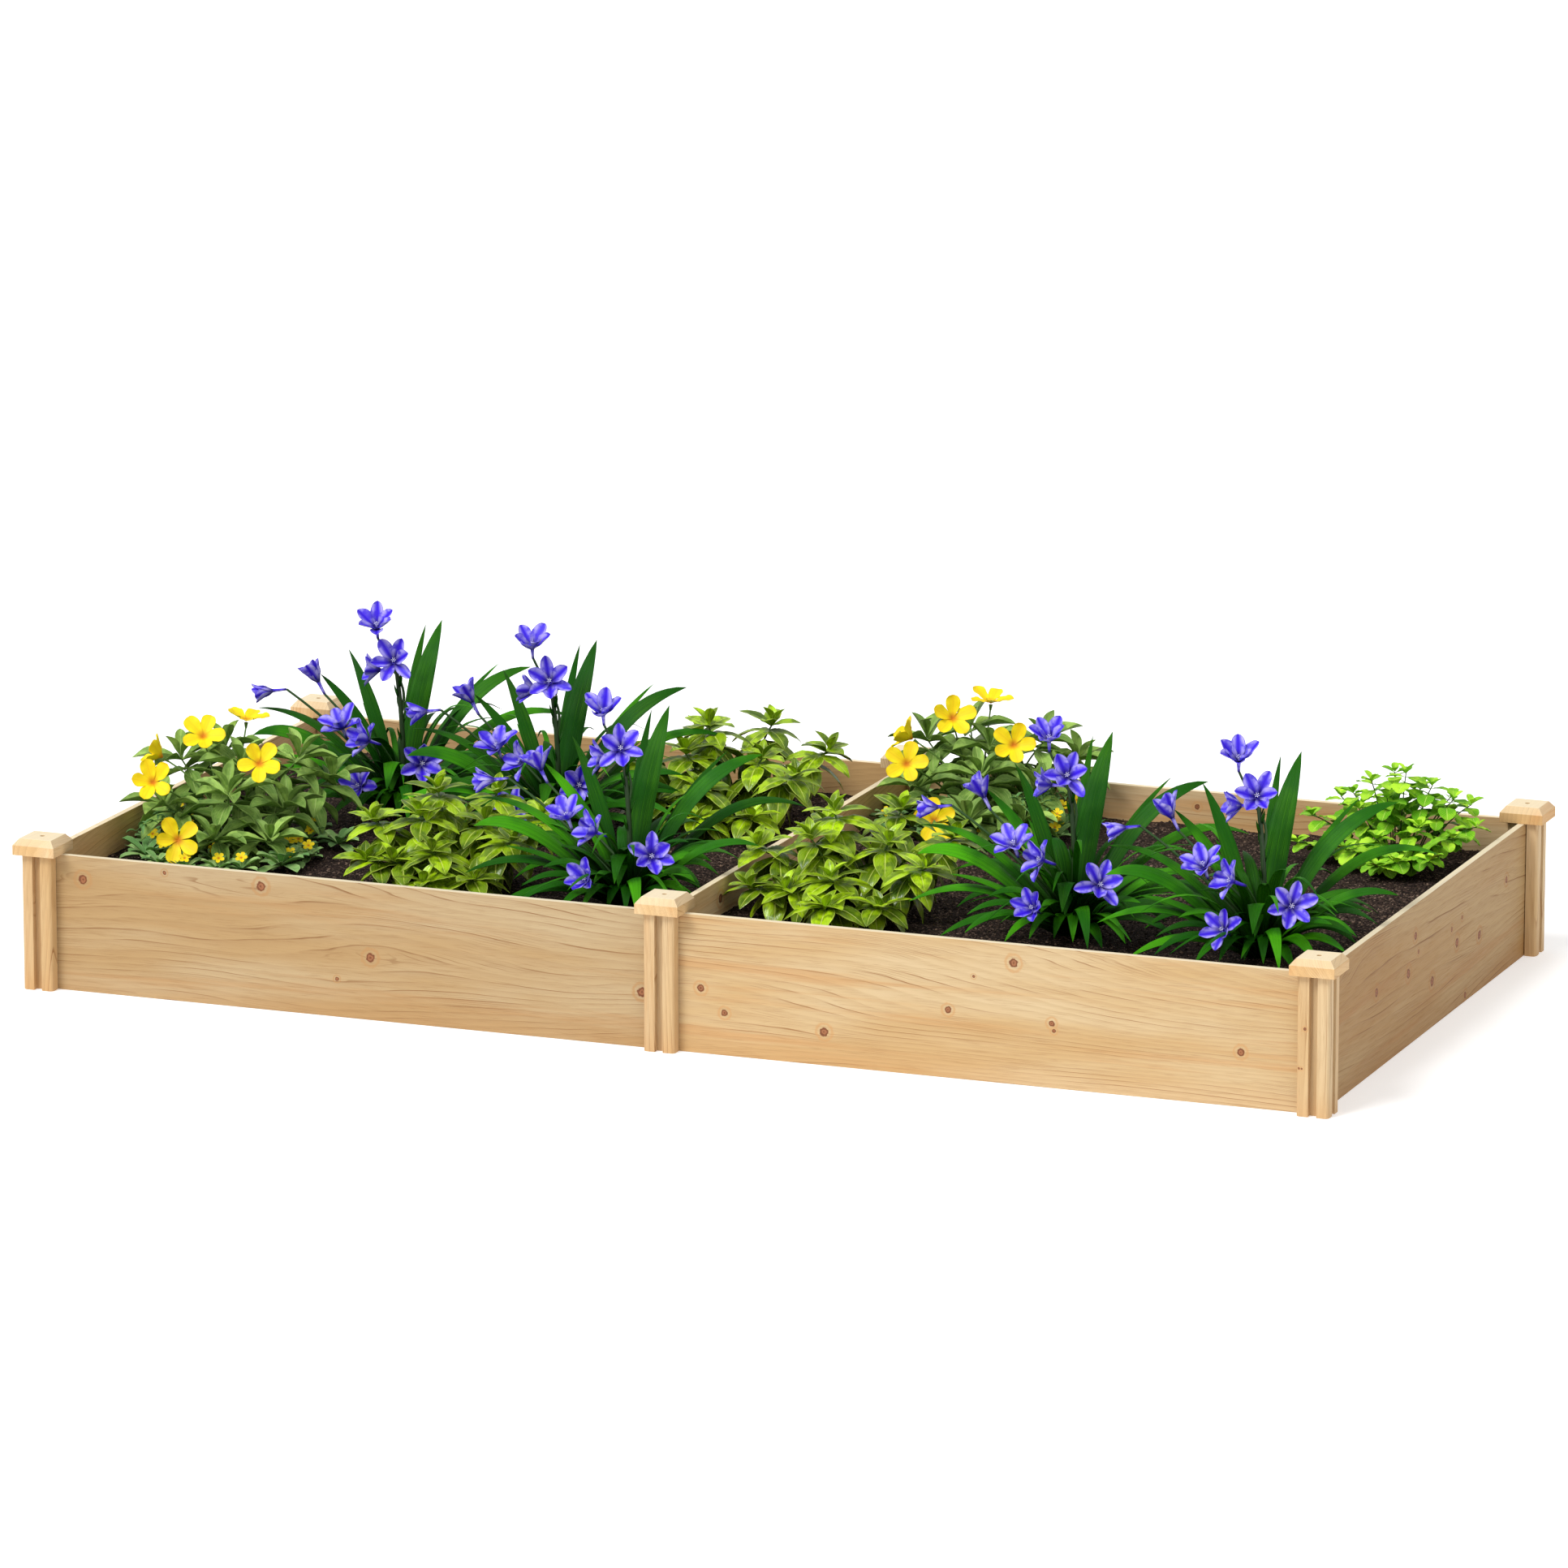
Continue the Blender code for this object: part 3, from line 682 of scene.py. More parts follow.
# Outlines: the half width at places from a leaf's foot, 0, to its tip, 1.
LANCE = profile((0.0, 0.10), (0.09, 0.34), (0.25, 0.82), (0.44, 1.0), (0.66, 0.86), (0.85, 0.46),
                (1.0, 0.02))
SPOON = profile((0.0, 0.10), (0.14, 0.26), (0.34, 0.74), (0.52, 1.0), (0.72, 0.88), (0.88, 0.48),
                (1.0, 0.02))
OVATE = profile((0.0, 0.08), (0.12, 0.22), (0.24, 0.72), (0.42, 0.98), (0.64, 0.98), (0.84, 0.72),
                (0.96, 0.34), (1.0, 0.08))
PETAL = profile((0.0, 0.24), (0.18, 0.46), (0.38, 0.86), (0.56, 1.0), (0.75, 0.94), (0.89, 0.68),
                (0.965, 0.38), (1.0, 0.05))
BROAD_PETAL = profile((0.0, 0.12), (0.18, 0.38), (0.44, 0.86), (0.66, 1.0), (0.84, 0.90), (0.94, 0.62),
                      (0.985, 0.32), (1.0, 0.04))
BLADE = profile((0.0, 0.50), (0.18, 0.74), (0.42, 1.0), (0.66, 0.92), (0.85, 0.56), (0.95, 0.24),
                (1.0, 0.01))
# Leaves that are one unit long have their thickness as a share of their length.
LEAF_THICKNESS = 0.008
PETAL_THICKNESS = 0.0006
BLADE_THICKNESS = 0.0007
LILY_PETAL = 0.047
YELLOW_PETAL = 0.043


def leaf_shape(outline, droop, fold=0.25, ruffle=0.0, waves=3.0, cup=0.0, length=1.0, width=1.0):
    """A leaf along +X with its face up: droop bends it, fold lifts its sides, ruffle waves its edge."""
    def place(along, across):
        along = mix(along, sin(0.5 * pi * along), 0.7)
        bend = droop * along
        spine = Vector((length * sin(bend) / droop, 0.0, -length * (1.0 - cos(bend)) / droop))
        half = 0.5 * width * outline(along)
        lift = fold * half * abs(across) + cup * half * across * across
        lift += ruffle * sin(waves * tau * along + 1.3 * across) * across * across * half
        normal = Vector((sin(bend), 0.0, cos(bend)))
        return spine + Vector((0.0, half * across, 0.0)) + normal * lift
    return place


def tube_shape(along, across):
    """A flower's tube, one unit long, that widens to the throat and closes on itself."""
    radius = 0.0022 + 0.0013 * along ** 2
    angle = pi * across
    return Vector((along, radius * cos(angle), radius * sin(angle)))


def keep_shape(name, piece):
    """Take a finished shape out of the scene, to be set on points from its own collection."""
    if name not in SHAPES:
        SHAPES[name] = bpy.data.collections.new(name)
    bpy.context.collection.objects.unlink(piece)
    SHAPES[name].objects.link(piece)


def make_shapes(name, rows, columns, thickness, *shapes):
    """Leaf or petal shapes, numbered in their order."""
    for number, shape in enumerate(shapes):
        sheets = Sheets()
        sheets.add(shape, rows, columns)
        piece = sheets.make(f"{name}_{number}", thickness)
        piece.data.attributes.remove(piece.data.attributes["shade"])
        keep_shape(name, piece)


def remove_shapes():
    for group in SHAPES.values():
        for piece in list(group.objects):
            bpy.data.objects.remove(piece)
        bpy.data.collections.remove(group)


def make_copy_tree():
    """Geometry nodes that set a numbered shape on each point, turned and sized as the point says."""
    nodes, start, end = new_group(
        "shapes_on_points", "GeometryNodeTree",
        [("Points", "Geometry", None), ("Shapes", "Collection", None), ("Material", "Material", None)],
        ["Pieces"], "Geometry")
    inputs = {"Collection": start["Shapes"], "Separate Children": True, "Reset Children": True}
    shapes = nodes.add("GeometryNodeCollectionInfo", inputs).outputs[0]
    turn, size = (nodes.point_value(name, "FLOAT_VECTOR") for name in ("turn", "size"))
    copies = nodes.copies(start["Points"], shapes, turn, size, Pick_Instance=True,
                          Instance_Index=nodes.point_value("kind", "INT"))
    nodes.put_out(end, Pieces=nodes.painted(copies, start["Material"], ("turn", "size", "kind")))
    return nodes.tree


def make_stem_tree():
    """Geometry nodes that sweep a round stem along each chain of edges, as thick as its points say."""
    nodes, start, end = new_group(
        "round_stems", "GeometryNodeTree",
        [("Paths", "Geometry", None), ("Sides", "Int", 7), ("Material", "Material", None)],
        ["Stems"], "Geometry")
    thick = nodes.point_value("thick", "FLOAT")
    paths = nodes.add("GeometryNodeMeshToCurve", {"Mesh": start["Paths"]}).outputs[0]
    ring = nodes.add("GeometryNodeCurvePrimitiveCircle", {"Resolution": start["Sides"], "Radius": 1.0})
    inputs = {"Curve": paths, "Profile Curve": ring.outputs["Curve"], "Scale": thick, "Fill Caps": True}
    tubes = nodes.add("GeometryNodeCurveToMesh", inputs).outputs[0]
    nodes.put_out(end, Stems=nodes.painted(tubes, start["Material"]))
    return nodes.tree


class Growth:
    """Where a plant's leaves or petals are set: place, turn, size, kind of shape and shade."""

    def __init__(self):
        self.rows = []

    def set(self, place, turn, size, kind, shade):
        """turn is a matrix: its columns lie along the leaf, across it and out of its face."""
        self.rows.append((*place, *turn.to_euler(), *size, kind, shade))

    def make(self, name, shapes, finish, node, slot):
        table = np.array(self.rows, dtype=np.float32)
        mesh = bpy.data.meshes.new(name)
        mesh.from_pydata(table[:, :3].tolist(), [], [])
        store(mesh, "turn", "FLOAT_VECTOR", table[:, 3:6])
        store(mesh, "size", "FLOAT_VECTOR", table[:, 6:9])
        store(mesh, "kind", "INT", table[:, 9])
        store(mesh, "shade", "FLOAT", table[:, 10])
        piece = run_tree(name, mesh, TREES["copies"], Shapes=SHAPES[shapes], Material=FINISHES[finish])
        finish_piece(piece, node, slot)


class Stems:
    """Paths of a plant's stems, each a run of points with a radius at both ends."""

    def __init__(self):
        self.points = []
        self.edges = []
        self.radii = []
        self.shades = []

    def add(self, steer, thick, thin, steps, shade=0.5):
        start = len(self.points)
        for step in range(steps + 1):
            self.points.append(curve_point(steer, step / steps))
            self.radii.append(mix(thick, thin, step / steps))
            self.shades.append(shade)
        self.edges += [(start + step, start + step + 1) for step in range(steps)]

    def sweep(self, name, material, sides):
        mesh = bpy.data.meshes.new(name)
        mesh.from_pydata(self.points, self.edges, [])
        store(mesh, "thick", "FLOAT", self.radii)
        store(mesh, "shade", "FLOAT", self.shades)
        piece = run_tree(name, mesh, TREES["stems"], Sides=sides, Material=material)
        smooth(piece.data, 60)
        return piece

    def make(self, name, finish, node, slot, sides=7):
        finish_piece(self.sweep(name, FINISHES[finish], sides), node, slot)


def leaf_turn(bearing, rise, roll=0.0, axis=UP):
    """The turn of a leaf at a bearing round a shoot's axis and a rise from the shoot's level."""
    lean = UP.rotation_difference(axis.normalized()).to_matrix()
    level = Matrix.Rotation(radians(bearing), 3, "Z") @ Matrix.Rotation(radians(-rise), 3, "Y")
    return lean @ level @ Matrix.Rotation(radians(roll), 3, "X")


def petal_turn(facing, angle, opening):
    """The turn of one petal round a flower: it grows from the throat, opened away from the axis."""
    axis = Vector(facing).normalized()
    spoke = Matrix.Rotation(radians(angle), 3, axis) @ axis.orthogonal().normalized()
    along = axis * cos(radians(opening)) + spoke * sin(radians(opening))
    across = axis.cross(spoke)
    return Matrix((along, across, along.cross(across))).transposed()


# ---- leaf and petal finishes ----
def make_mark_group():
    """Masks on a leaf's own map: midrib, side veins, lengthwise ribs, margin and mottling."""
    nodes, start, end = new_group(
        "leaf_marks", "ShaderNodeTree",
        [("Vein Count", "Float", 9.0), ("Vein Lean", "Float", 0.8), ("Mottle Size", "Float", 40.0)],
        ("Midrib", "Veins", "Ribs", "Margin", "Mottle", "Along", "Side"))
    marks = nodes.attribute("leaf", "Vector")
    across, along = nodes.parts(marks)[0:2]
    side = nodes.off(across, 0.5)
    leaned = nodes.minus(along, nodes.times(side, start["Vein Lean"]))
    vein = nodes.off(nodes.math("FRACT", nodes.times(leaned, start["Vein Count"])), 0.5)
    nodes.put_out(end, Midrib=nodes.spread(side, 0.045, 0.012), Veins=nodes.spread(vein, 0.16, 0.02),
                  Ribs=nodes.noise(marks, (26.0, 1.2, 0.0)), Margin=nodes.spread(side, 0.43, 0.485),
                  Mottle=nodes.noise(nodes.own_place(), nodes.cube(start["Mottle Size"])), Along=along,
                  Side=side)
    return nodes.tree


def make_blade_finish(marks):
    """Long satin lily leaves: lengthwise ribs, with painted shade darkening them towards the crown."""
    nodes, surface = new_material("lily_leaf", 0.45, Specular_IOR_Level=0.12)
    mask = nodes.use(marks, Mottle_Size=11.0)
    color = nodes.coats(tint(24, 78, 2), (tint(78, 172, 8), nodes.attribute("shade", "Fac"), 0.0, 1.0, 1.0),
                        (tint(112, 200, 20), mask["Ribs"], 0.50, 0.75, 0.35),
                        (tint(14, 72, 4), mask["Ribs"], 0.50, 0.30, 0.55),
                        (tint(16, 84, 4), mask["Mottle"], 0.38, 0.60, 0.75),
                        (tint(12, 60, 4), mask["Margin"], 0.35),
                        # Painted shade: near-black green over the lower part of each blade, towards the
                        # crown.
                        (tint(3, 20, 3), mask["Along"], 0.58, 0.06, 0.90))
    nodes.dress(surface, color, mask["Ribs"], 0.0018, 0.8)


def make_leaf_finish(marks, name, greens, roughness, shares, **fixed):
    """A broad leaf: patches of two greens under pale ribs, side veins, midrib and margin."""
    nodes, surface = new_material(name, roughness, **fixed)
    deep, bright, pale = (tint(*green) for green in greens)
    veins, margin, ribs = shares
    mask = nodes.use(marks, Mottle_Size=45.0)
    color = nodes.coats(deep, (bright, nodes.attribute("shade", "Fac"), 0.0, 1.0, 1.0),
                        (deep, mask["Mottle"], 0.42, 0.60, 0.65), (pale, mask["Ribs"], 0.45, 0.70, ribs),
                        (pale, mask["Veins"], veins), (pale, mask["Midrib"], 0.6),
                        (pale, mask["Margin"], margin))
    groove = nodes.plus(mask["Midrib"], nodes.times(mask["Veins"], 0.5))
    nodes.dress(surface, color, nodes.times(groove, -1.0), 0.0010, 0.8)


def make_petal_finish(marks, name, colors, roughness, reach, patches, midline):
    """A petal: deep in its throat, along its midline and at its tip, with paler patches and fine veins."""
    nodes, surface = new_material(name, roughness, Specular_IOR_Level=0.35)
    throat, middle, edge, line = (tint(*color) for color in colors)
    mask = nodes.use(marks, Mottle_Size=70.0)
    pale = nodes.times(nodes.spread(mask["Side"], 0.06, 0.40),
                       nodes.spread(mask["Mottle"], 0.32, 0.58, patches, 1.0))
    centre = nodes.times(nodes.spread(mask["Side"], 0.08, 0.01), nodes.spread(mask["Along"], 1.0, 0.7))
    color = nodes.coats(nodes.blend(pale, middle, edge), (line, mask["Ribs"], 0.45, 0.70, 0.40),
                        (line, mask["Along"], 0.72, 1.0, 0.55), (line, mask["Margin"], 0.35),
                        (line, centre, midline), (throat, mask["Along"], reach, 0.02, 0.95))
    nodes.dress(surface, color, mask["Ribs"], 0.0008, 0.6)


def make_stem_finish(name, low, high):
    """A stem: two tones that run into each other, with fine lengthwise fibres."""
    nodes, surface = new_material(name, 0.5)
    low, high = tint(*low), tint(*high)
    fibre = nodes.noise(nodes.own_place(), (500.0, 500.0, 40.0))
    color = nodes.blend(nodes.attribute("shade", "Fac"), low, high)
    nodes.dress(surface, nodes.coats(color, (high, fibre, 0.3, 0.8, 0.4)), fibre, 0.0005, 0.5)


# ---- lilies ----
# Blades: bearing, reach and height of the tip, reach and height that steer the middle, width, twist.
LILY_BLADES = (
    (83, 150, 334, 30, 200, 50, 10), (100, 200, 312, 20, 200, 22, 20), (36, 242, 262, 100, 250, 38, 25),
    (46, 340, 150, 180, 230, 26, 15), (8, 235, 126, 130, 160, 26, 10), (-6, 243, 60, 140, 130, 26, -10),
    (-41, 184, 30, 100, 110, 28, 0), (-63, 200, 30, 120, 150, 28, 10), (-79, 120, 74, 70, 190, 36, 0),
    (238, 235, 44, 140, 110, 24, -10), (204, 268, 152, 170, 200, 40, -20),
    (151, 154, 282, 70, 190, 30, -70), (173, 169, 245, 50, 160, 28, -20),
    (76, 230, 100, 120, 190, 28, 0), (137, 220, 92, 100, 170, 26, 0), (61, 225, 250, 80, 170, 17, 15),
    (16, 223, 88, 120, 140, 26, 0), (-14, 217, 68, 120, 120, 26, 0), (-24, 235, 46, 130, 100, 26, -10),
    (224, 199, 60, 110, 115, 24, 0), (211, 215, 122, 100, 105, 22, 0),
    (190, 267, 188, 130, 200, 24, 10), (209, 285, 74, 150, 145, 26, 0), (141, 150, 180, 50, 115, 22, 0),
    (-89, 100, 22, 50, 100, 26, 0), (112, 230, 84, 120, 170, 26, 0), (166, 250, 84, 100, 170, 24, 0),
    (-100, 150, 30, 90, 110, 26, 0), (252, 190, 30, 110, 100, 26, 0), (28, 260, 56, 150, 135, 26, 0),
    (55, 250, 46, 150, 145, 26, 0), (-52, 160, 20, 90, 80, 26, 0), (-33, 190, 100, 80, 110, 26, 10),
    (2, 170, 40, 90, 120, 26, 0), (218, 240, 20, 130, 90, 26, 0), (232, 170, 95, 80, 130, 28, 0),
    (262, 120, 70, 50, 120, 28, 0), (-70, 110, 20, 60, 110, 26, 0), (196, 200, 50, 110, 140, 26, 0),
    (22, 170, 120, 70, 130, 24, 0), (280, 80, 58, 40, 150, 34, 0), (180, 210, 120, 100, 140, 24, 0),
)
# Flowers: throat, the way the flower faces, how wide it opens (degrees) and its size.
LILY_FLOWERS = (
    ((-41, -12, 352), (0.15, -0.5, 0.85), 46, 1.06), ((-6, -16, 290), (0.25, -0.8, 0.5), 52, 1.04),
    ((-46, -5, 268), (-0.9, -0.4, 0.1), 46, 0.9), ((-167, 2, 240), (-0.45, -0.1, 0.9), 32, 1.05),
    ((-232, -64, 225), (-0.9, -0.4, -0.1), 28, 0.92), ((-70, -108, 185), (-0.1, -0.5, 0.85), 52, 1.05),
    ((-17, -121, 165), (-0.6, -0.6, 0.35), 50, 1.0), ((-27, -133, 82), (-0.15, -0.9, 0.5), 50, 0.94),
    ((86, -102, 125), (0.45, -0.8, 0.4), 50, 1.06),
)
LILY_SPINE = ((0, 0, 0), (6, 10, 140), (-11, 6, 270))
LILY_CROWN = 0.010
BOARD_MARGIN = 0.014
LOW_LEAF = 0.030
LEAST_REACH = 0.06
BLADE_ROLL = 30.0
BLADE_SLIMNESS = 0.86
TALL_BLADE = 0.27
HEART_BLADE_STEP = 24
FINE_BLADES = 22
BRACT_SHARES = (0.50, 0.62, 0.72, 0.80, 0.87, 0.93)
TUBE_LENGTH = 0.032
TUBE_OVERLAP = 0.007
STALK_HEIGHT = 0.270
STALK_RADII = (0.0060, 0.0040)
FLOWER_STEM_RADII = (0.0030, 0.0022)


def reach_inside(origin, bearing, reach, height):
    """A low leaf's reach, cut short where a board stands in its way."""
    if height > BOARD_RISE + LOW_LEAF:
        return reach
    out = heading(bearing)
    low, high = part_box("soil_left" if origin.x < 0.0 else "soil_right")
    for axis in (0, 1):
        wall = high[axis] - BOARD_MARGIN if out[axis] > 0.0 else low[axis] + BOARD_MARGIN
        if abs(out[axis]) > 0.01:
            reach = min(reach, max(LEAST_REACH, (wall - origin[axis]) / out[axis]))
    return reach


def blade_shape(origin, bearing, tip, middle, width, twist=0.0, roll=0.0, fold=0.3):
    """One long leaf from the crown: it rises, arches and may turn about its own length.

    The tip and the middle that steers it are each given as a reach and a height."""
    out = heading(bearing)
    steer = [origin + out * LILY_CROWN]
    steer += [origin + out * reach + UP * height for reach, height in (middle, tip)]

    def place(along, across):
        spine = curve_point(steer, along)
        ahead = (curve_point(steer, along + 0.01) - curve_point(steer, along - 0.01)).normalized()
        level = Vector((-out.y, out.x, 0.0))
        face = ahead.cross(level).normalized() * -1.0
        turned = Matrix.Rotation(radians(roll + twist * along ** 2), 3, ahead)
        level, face = turned @ level, turned @ face
        half = 0.5 * width * BLADE(along)
        gutter = mix(0.50, fold, min(1.0, 2.0 * along))
        return spine + level * (half * across) + face * (half * gutter * abs(across) ** 1.3)
    return place


def grow_blades(chance, origin, spine):
    """A lily's leaves: those of the plan, short ones at its heart, narrow ones, and the stalk's bracts."""
    sheets = Sheets()
    for bearing, *lengths, twist in LILY_BLADES:
        reach, height, mid_reach, mid_height, width = metres(lengths)
        inside = reach_inside(origin, bearing, reach, height)
        twist += chance.uniform(-6, 6)
        shape = blade_shape(origin, bearing, (inside, height), (mid_reach * inside / reach, mid_height),
                            width * BLADE_SLIMNESS, twist, BLADE_ROLL * cos(radians(bearing)),
                            chance.uniform(0.05, 0.2))
        # Painted shade: tall upright blades keep only a third of their random share, so they stay dark as
        # blades turned from the light; the others are lifted.
        shade = chance.random()
        sheets.add(shape, 16, 4, shade * 0.35 if height > TALL_BLADE else 0.1 + 0.8 * shade)
    for bearing in range(0, 360, HEART_BLADE_STEP):
        reach, height = chance.uniform(0.06, 0.15), chance.uniform(0.05, 0.17)
        inside = reach_inside(origin, bearing, reach, height)
        bearing += chance.uniform(-9, 9)
        shape = blade_shape(origin, bearing, (inside, height), (inside * 0.3, height * 1.1),
                            chance.uniform(0.018, 0.030), chance.uniform(-20, 20), 0.0, 0.15)
        # Painted shade: the short blades at the heart get a dark share, for the shade inside the crown.
        sheets.add(shape, 12, 4, chance.uniform(0.0, 0.3))
    for number in range(FINE_BLADES):
        bearing = number * GOLDEN_TURN
        reach, height = chance.uniform(0.13, 0.25), chance.uniform(0.03, 0.19)
        inside = reach_inside(origin, bearing, reach, 0.0)
        middle = inside * 0.4, height + chance.uniform(0.04, 0.09)
        shape = blade_shape(origin, bearing, (inside, height), middle, chance.uniform(0.008, 0.014),
                            chance.uniform(-20, 20), 0.0, 0.2)
        sheets.add(shape, 12, 2, chance.uniform(0.4, 1.0))
    for share in BRACT_SHARES:
        bearing = share * 1200.0
        start = curve_point(spine, share) - heading(bearing) * 0.007
        sheets.add(blade_shape(start, bearing, (0.019, 0.026), (0.012, 0.010), 0.007), 4, 2, 0.0)
    return sheets


def branch_start(throat):
    """How far up the stalk a flower's own stem leaves it: the wider the flower stands, the lower."""
    reach = Vector(throat[:2]).length
    return min(0.96, max(0.08, (throat[2] - 0.050 - 0.75 * reach) / STALK_HEIGHT))


def make_lily(number, place):
    chance = Random(100 + number)
    origin = Vector((*place, SOIL_TOP))
    spine = [origin + Vector(metres(point)) for point in LILY_SPINE]
    leaves = grow_blades(chance, origin, spine).make(f"blades_lily_{number}", BLADE_THICKNESS)
    leaves.data.materials.append(FINISHES["lily_leaf"])
    finish_piece(leaves, f"lily_{number}_leaves", "lily_leaf")
    petals, stamens, stems = Growth(), Growth(), Stems()
    stems.add(spine, *STALK_RADII, 12, 0.1)
    for throat, facing, opening, size in LILY_FLOWERS:
        throat = origin + Vector(metres(throat))
        axis = Vector(facing).normalized()
        start = throat - axis * TUBE_LENGTH
        joint = curve_point(spine, branch_start(throat - origin))
        bend = mix(joint, start, 0.5) + UP * 0.010 - axis * 0.022
        stems.add([joint, bend, start], *FLOWER_STEM_RADII, 9, 0.45)
        turn = chance.uniform(0, 60)
        kinds = (2, 2, 0) if opening < 50 else (0, 1, 2)
        ahead = petal_turn(facing, turn, 0)
        petals.set(start, ahead, (TUBE_LENGTH - TUBE_OVERLAP, size, size), 3, 0.2)
        for petal in range(6):
            outer = petal % 2
            wide = opening + chance.uniform(-11, 9) + 5 * outer
            length = size * chance.uniform(0.94, 1.06)
            spoke = petal_turn(facing, turn + petal * 60 + chance.uniform(-5, 5), wide)
            petals.set(throat - axis * 0.011, spoke, (length, length * (0.92 if outer else 1.05), length),
                       chance.choice(kinds), chance.random())
        stamens.set(throat - axis * 0.004, ahead, (size * 0.30, size * 0.42, size * 0.42), 0, 0.5)
    node = f"lily_{number}_flowers"
    petals.make(f"petals_lily_{number}", "lily_petals", "lily_petal", node, "lily_petal")
    stamens.make(f"stamens_lily_{number}", "stamens", "stamen", node, "lily_petal")
    stems.make(f"stalks_lily_{number}", "lily_stalk", node, "lily_leaf")


def make_stamens(reach=0.030):
    """Six thin filaments with long anthers round one style."""
    stems = Stems()
    for number in range(7):
        style = number == 6
        out = heading(number * 60 + 20)
        side = Vector((0.0, out.x, out.y)) * (0.0 if style else 0.0075)
        tip = Vector((reach * (1.15 if style else 0.86 + 0.04 * (number % 3)), 0.0, 0.0)) + side
        stems.add([side * 0.15, tip * 0.6, tip], 0.0005, 0.0004, 3)
        ahead = Vector((0.35, out.x, out.y)).normalized() * 0.0028
        stems.add([tip - ahead, tip, tip + ahead], 0.0010, 0.0009, 2)
    keep_shape("stamens", stems.sweep("stamens_0", None, 5))


# ---- leafy plants ----
# Whorls down a shoot: drop from its top, leaves, rise, length, width, kind of leaf.
SHRUB_TOPS = (
    (-45, 30, 170), (20, 135, 150), (135, 80, 130), (130, -50, 110), (0, -107, 90), (-155, -20, 110),
    (-80, -95, 60), (-90, 115, 120), (50, 20, 125), (85, -125, 50), (-140, -85, 55), (10, -160, 45),
    (-60, -35, 135),
)
SHRUB_SPREADS = (1.0, 1.2, 1.15)
SHRUB_WHORLS = (
    (0, 3, 60, 40, 18, 0), (8, 4, 30, 60, 31, 1), (22, 5, 4, 75, 38, 2), (50, 5, -16, 80, 40, 2),
    (80, 5, -34, 78, 39, 3), (112, 4, -42, 68, 34, 3),
)
YELLOW_TOPS = (
    (27, -63, 120), (83, 120, 150), (116, -7, 90), (-120, 53, 150), (-100, -64, 90), (10, 30, 150),
    (120, -90, 45), (30, -135, 48), (135, 150, 110), (-60, 120, 160),
)
YELLOW_WHORLS = (
    (0, 3, 58, 58, 20, 0), (10, 5, 24, 84, 30, 1), (34, 5, -2, 94, 33, 2), (66, 5, -22, 88, 31, 2),
)
# Yellow flowers: throat, the way the flower faces and how wide it opens (degrees).
YELLOW_FLOWERS = (
    ((-57, 16, 200), (0.3, -0.7, 0.6), 62), ((-29, 140, 205), (0.1, -0.1, 1.0), 62),
    ((89, -64, 180), (0.3, -0.8, 0.5), 66), ((-120, -21, 165), (-0.7, -0.2, 0.5), 48),
    ((-97, -112, 140), (0.2, -0.8, 0.5), 60), ((-20, -176, 56), (0.3, -0.9, 0.4), 74),
)
HERB_TOPS = (
    (23, -19, 170), (-29, -57, 160), (114, -23, 130), (-150, -26, 80), (68, -80, 90), (140, -110, 80),
    (55, -165, 40), (-95, -80, 50), (-30, 60, 115), (90, 40, 120), (-80, 0, 120), (0, -120, 70),
    (-120, 50, 100), (-60, -30, 100), (40, 20, 140), (165, -50, 90), (-55, -120, 45), (110, -150, 45),
    (0, -55, 130), (70, -10, 150), (130, 30, 110), (-10, 20, 160), (-160, -80, 40), (20, -170, 30),
)
HERB_WHORLS = (
    (0, 2, 50, 20, 13, 0), (3, 2, 30, 28, 19, 0), (13, 2, 8, 36, 26, 1), (28, 2, -4, 40, 29, 1),
    (44, 2, -12, 40, 29, 1), (62, 2, -16, 36, 27, 1), (80, 2, -18, 34, 26, 1),
)
FOOT_DEPTH = 0.006
LOWEST_LEAF = 0.012
LOWEST_SHARE = 0.22
YELLOW_STALK_RADII = (0.0022, 0.0015)
YELLOW_CUP_RADII = (0.0018, 0.0038)
LOW_ROSETTES = 26
ROSETTE_LEAVES = 11
# Rosettes stand at least this far from the divider, and at most this far along and across.
ROSETTE_LIMITS = (0.03, 1.15, 0.56)
SPRIGS = 6
SPRIG_SIDES = (190, -10)
SPRIG_LEAVES = 14
SPRIG_LIMIT = 1.16
LOW_BLOOM_FACING = (0.2, -0.6, 0.7)
LOW_BLOOM_OPENING = 66
LOW_BLOOM_PETAL = (0.012, 0.008, 0.012)


def grow_shoot(chance, leaves, stems, points, whorls, stem_radius, level_off):
    """A leafy shoot: a bent stem from its foot to its top, with whorls of leaves down from the top."""
    origin, foot, top = points
    length = (top - foot).length
    path = [foot, foot.lerp(top, 0.45) + UP * (0.22 * length), top]
    stems.add(path, stem_radius, stem_radius * 0.6, 7, chance.random())
    turn = chance.uniform(0, 360)
    for drop, count, rise, long, wide, kind in whorls:
        drop, long, wide = metres((drop, long, wide))
        share = 1.0 - drop / length
        centre = curve_point(path, share)
        if share < LOWEST_SHARE or centre.z < origin.z + LOWEST_LEAF:
            continue
        axis = curve_point(path, min(share + 0.05, 1.0)) - curve_point(path, share - 0.05)
        axis = axis.lerp(UP, level_off)
        turn += 360 / count * 0.5
        for number in range(count):
            size = chance.uniform(0.88, 1.12)
            bearing = turn + number * 360 / count + chance.uniform(-9, 9)
            leaf = leaf_turn(bearing, rise + chance.uniform(-8, 8), chance.uniform(-10, 10), axis)
            # Painted shade: on top of a random share, leaves further down from a shoot's top are darker,
            # for the shade deep inside the plant.
            shade = (0.35 + 0.65 * chance.random()) * max(0.2, 1.0 - 6.0 * drop)
            size = (long * size, wide * size, long * size)
            leaves.set(centre + leaf.col[0] * 0.001, leaf, size, kind, shade)


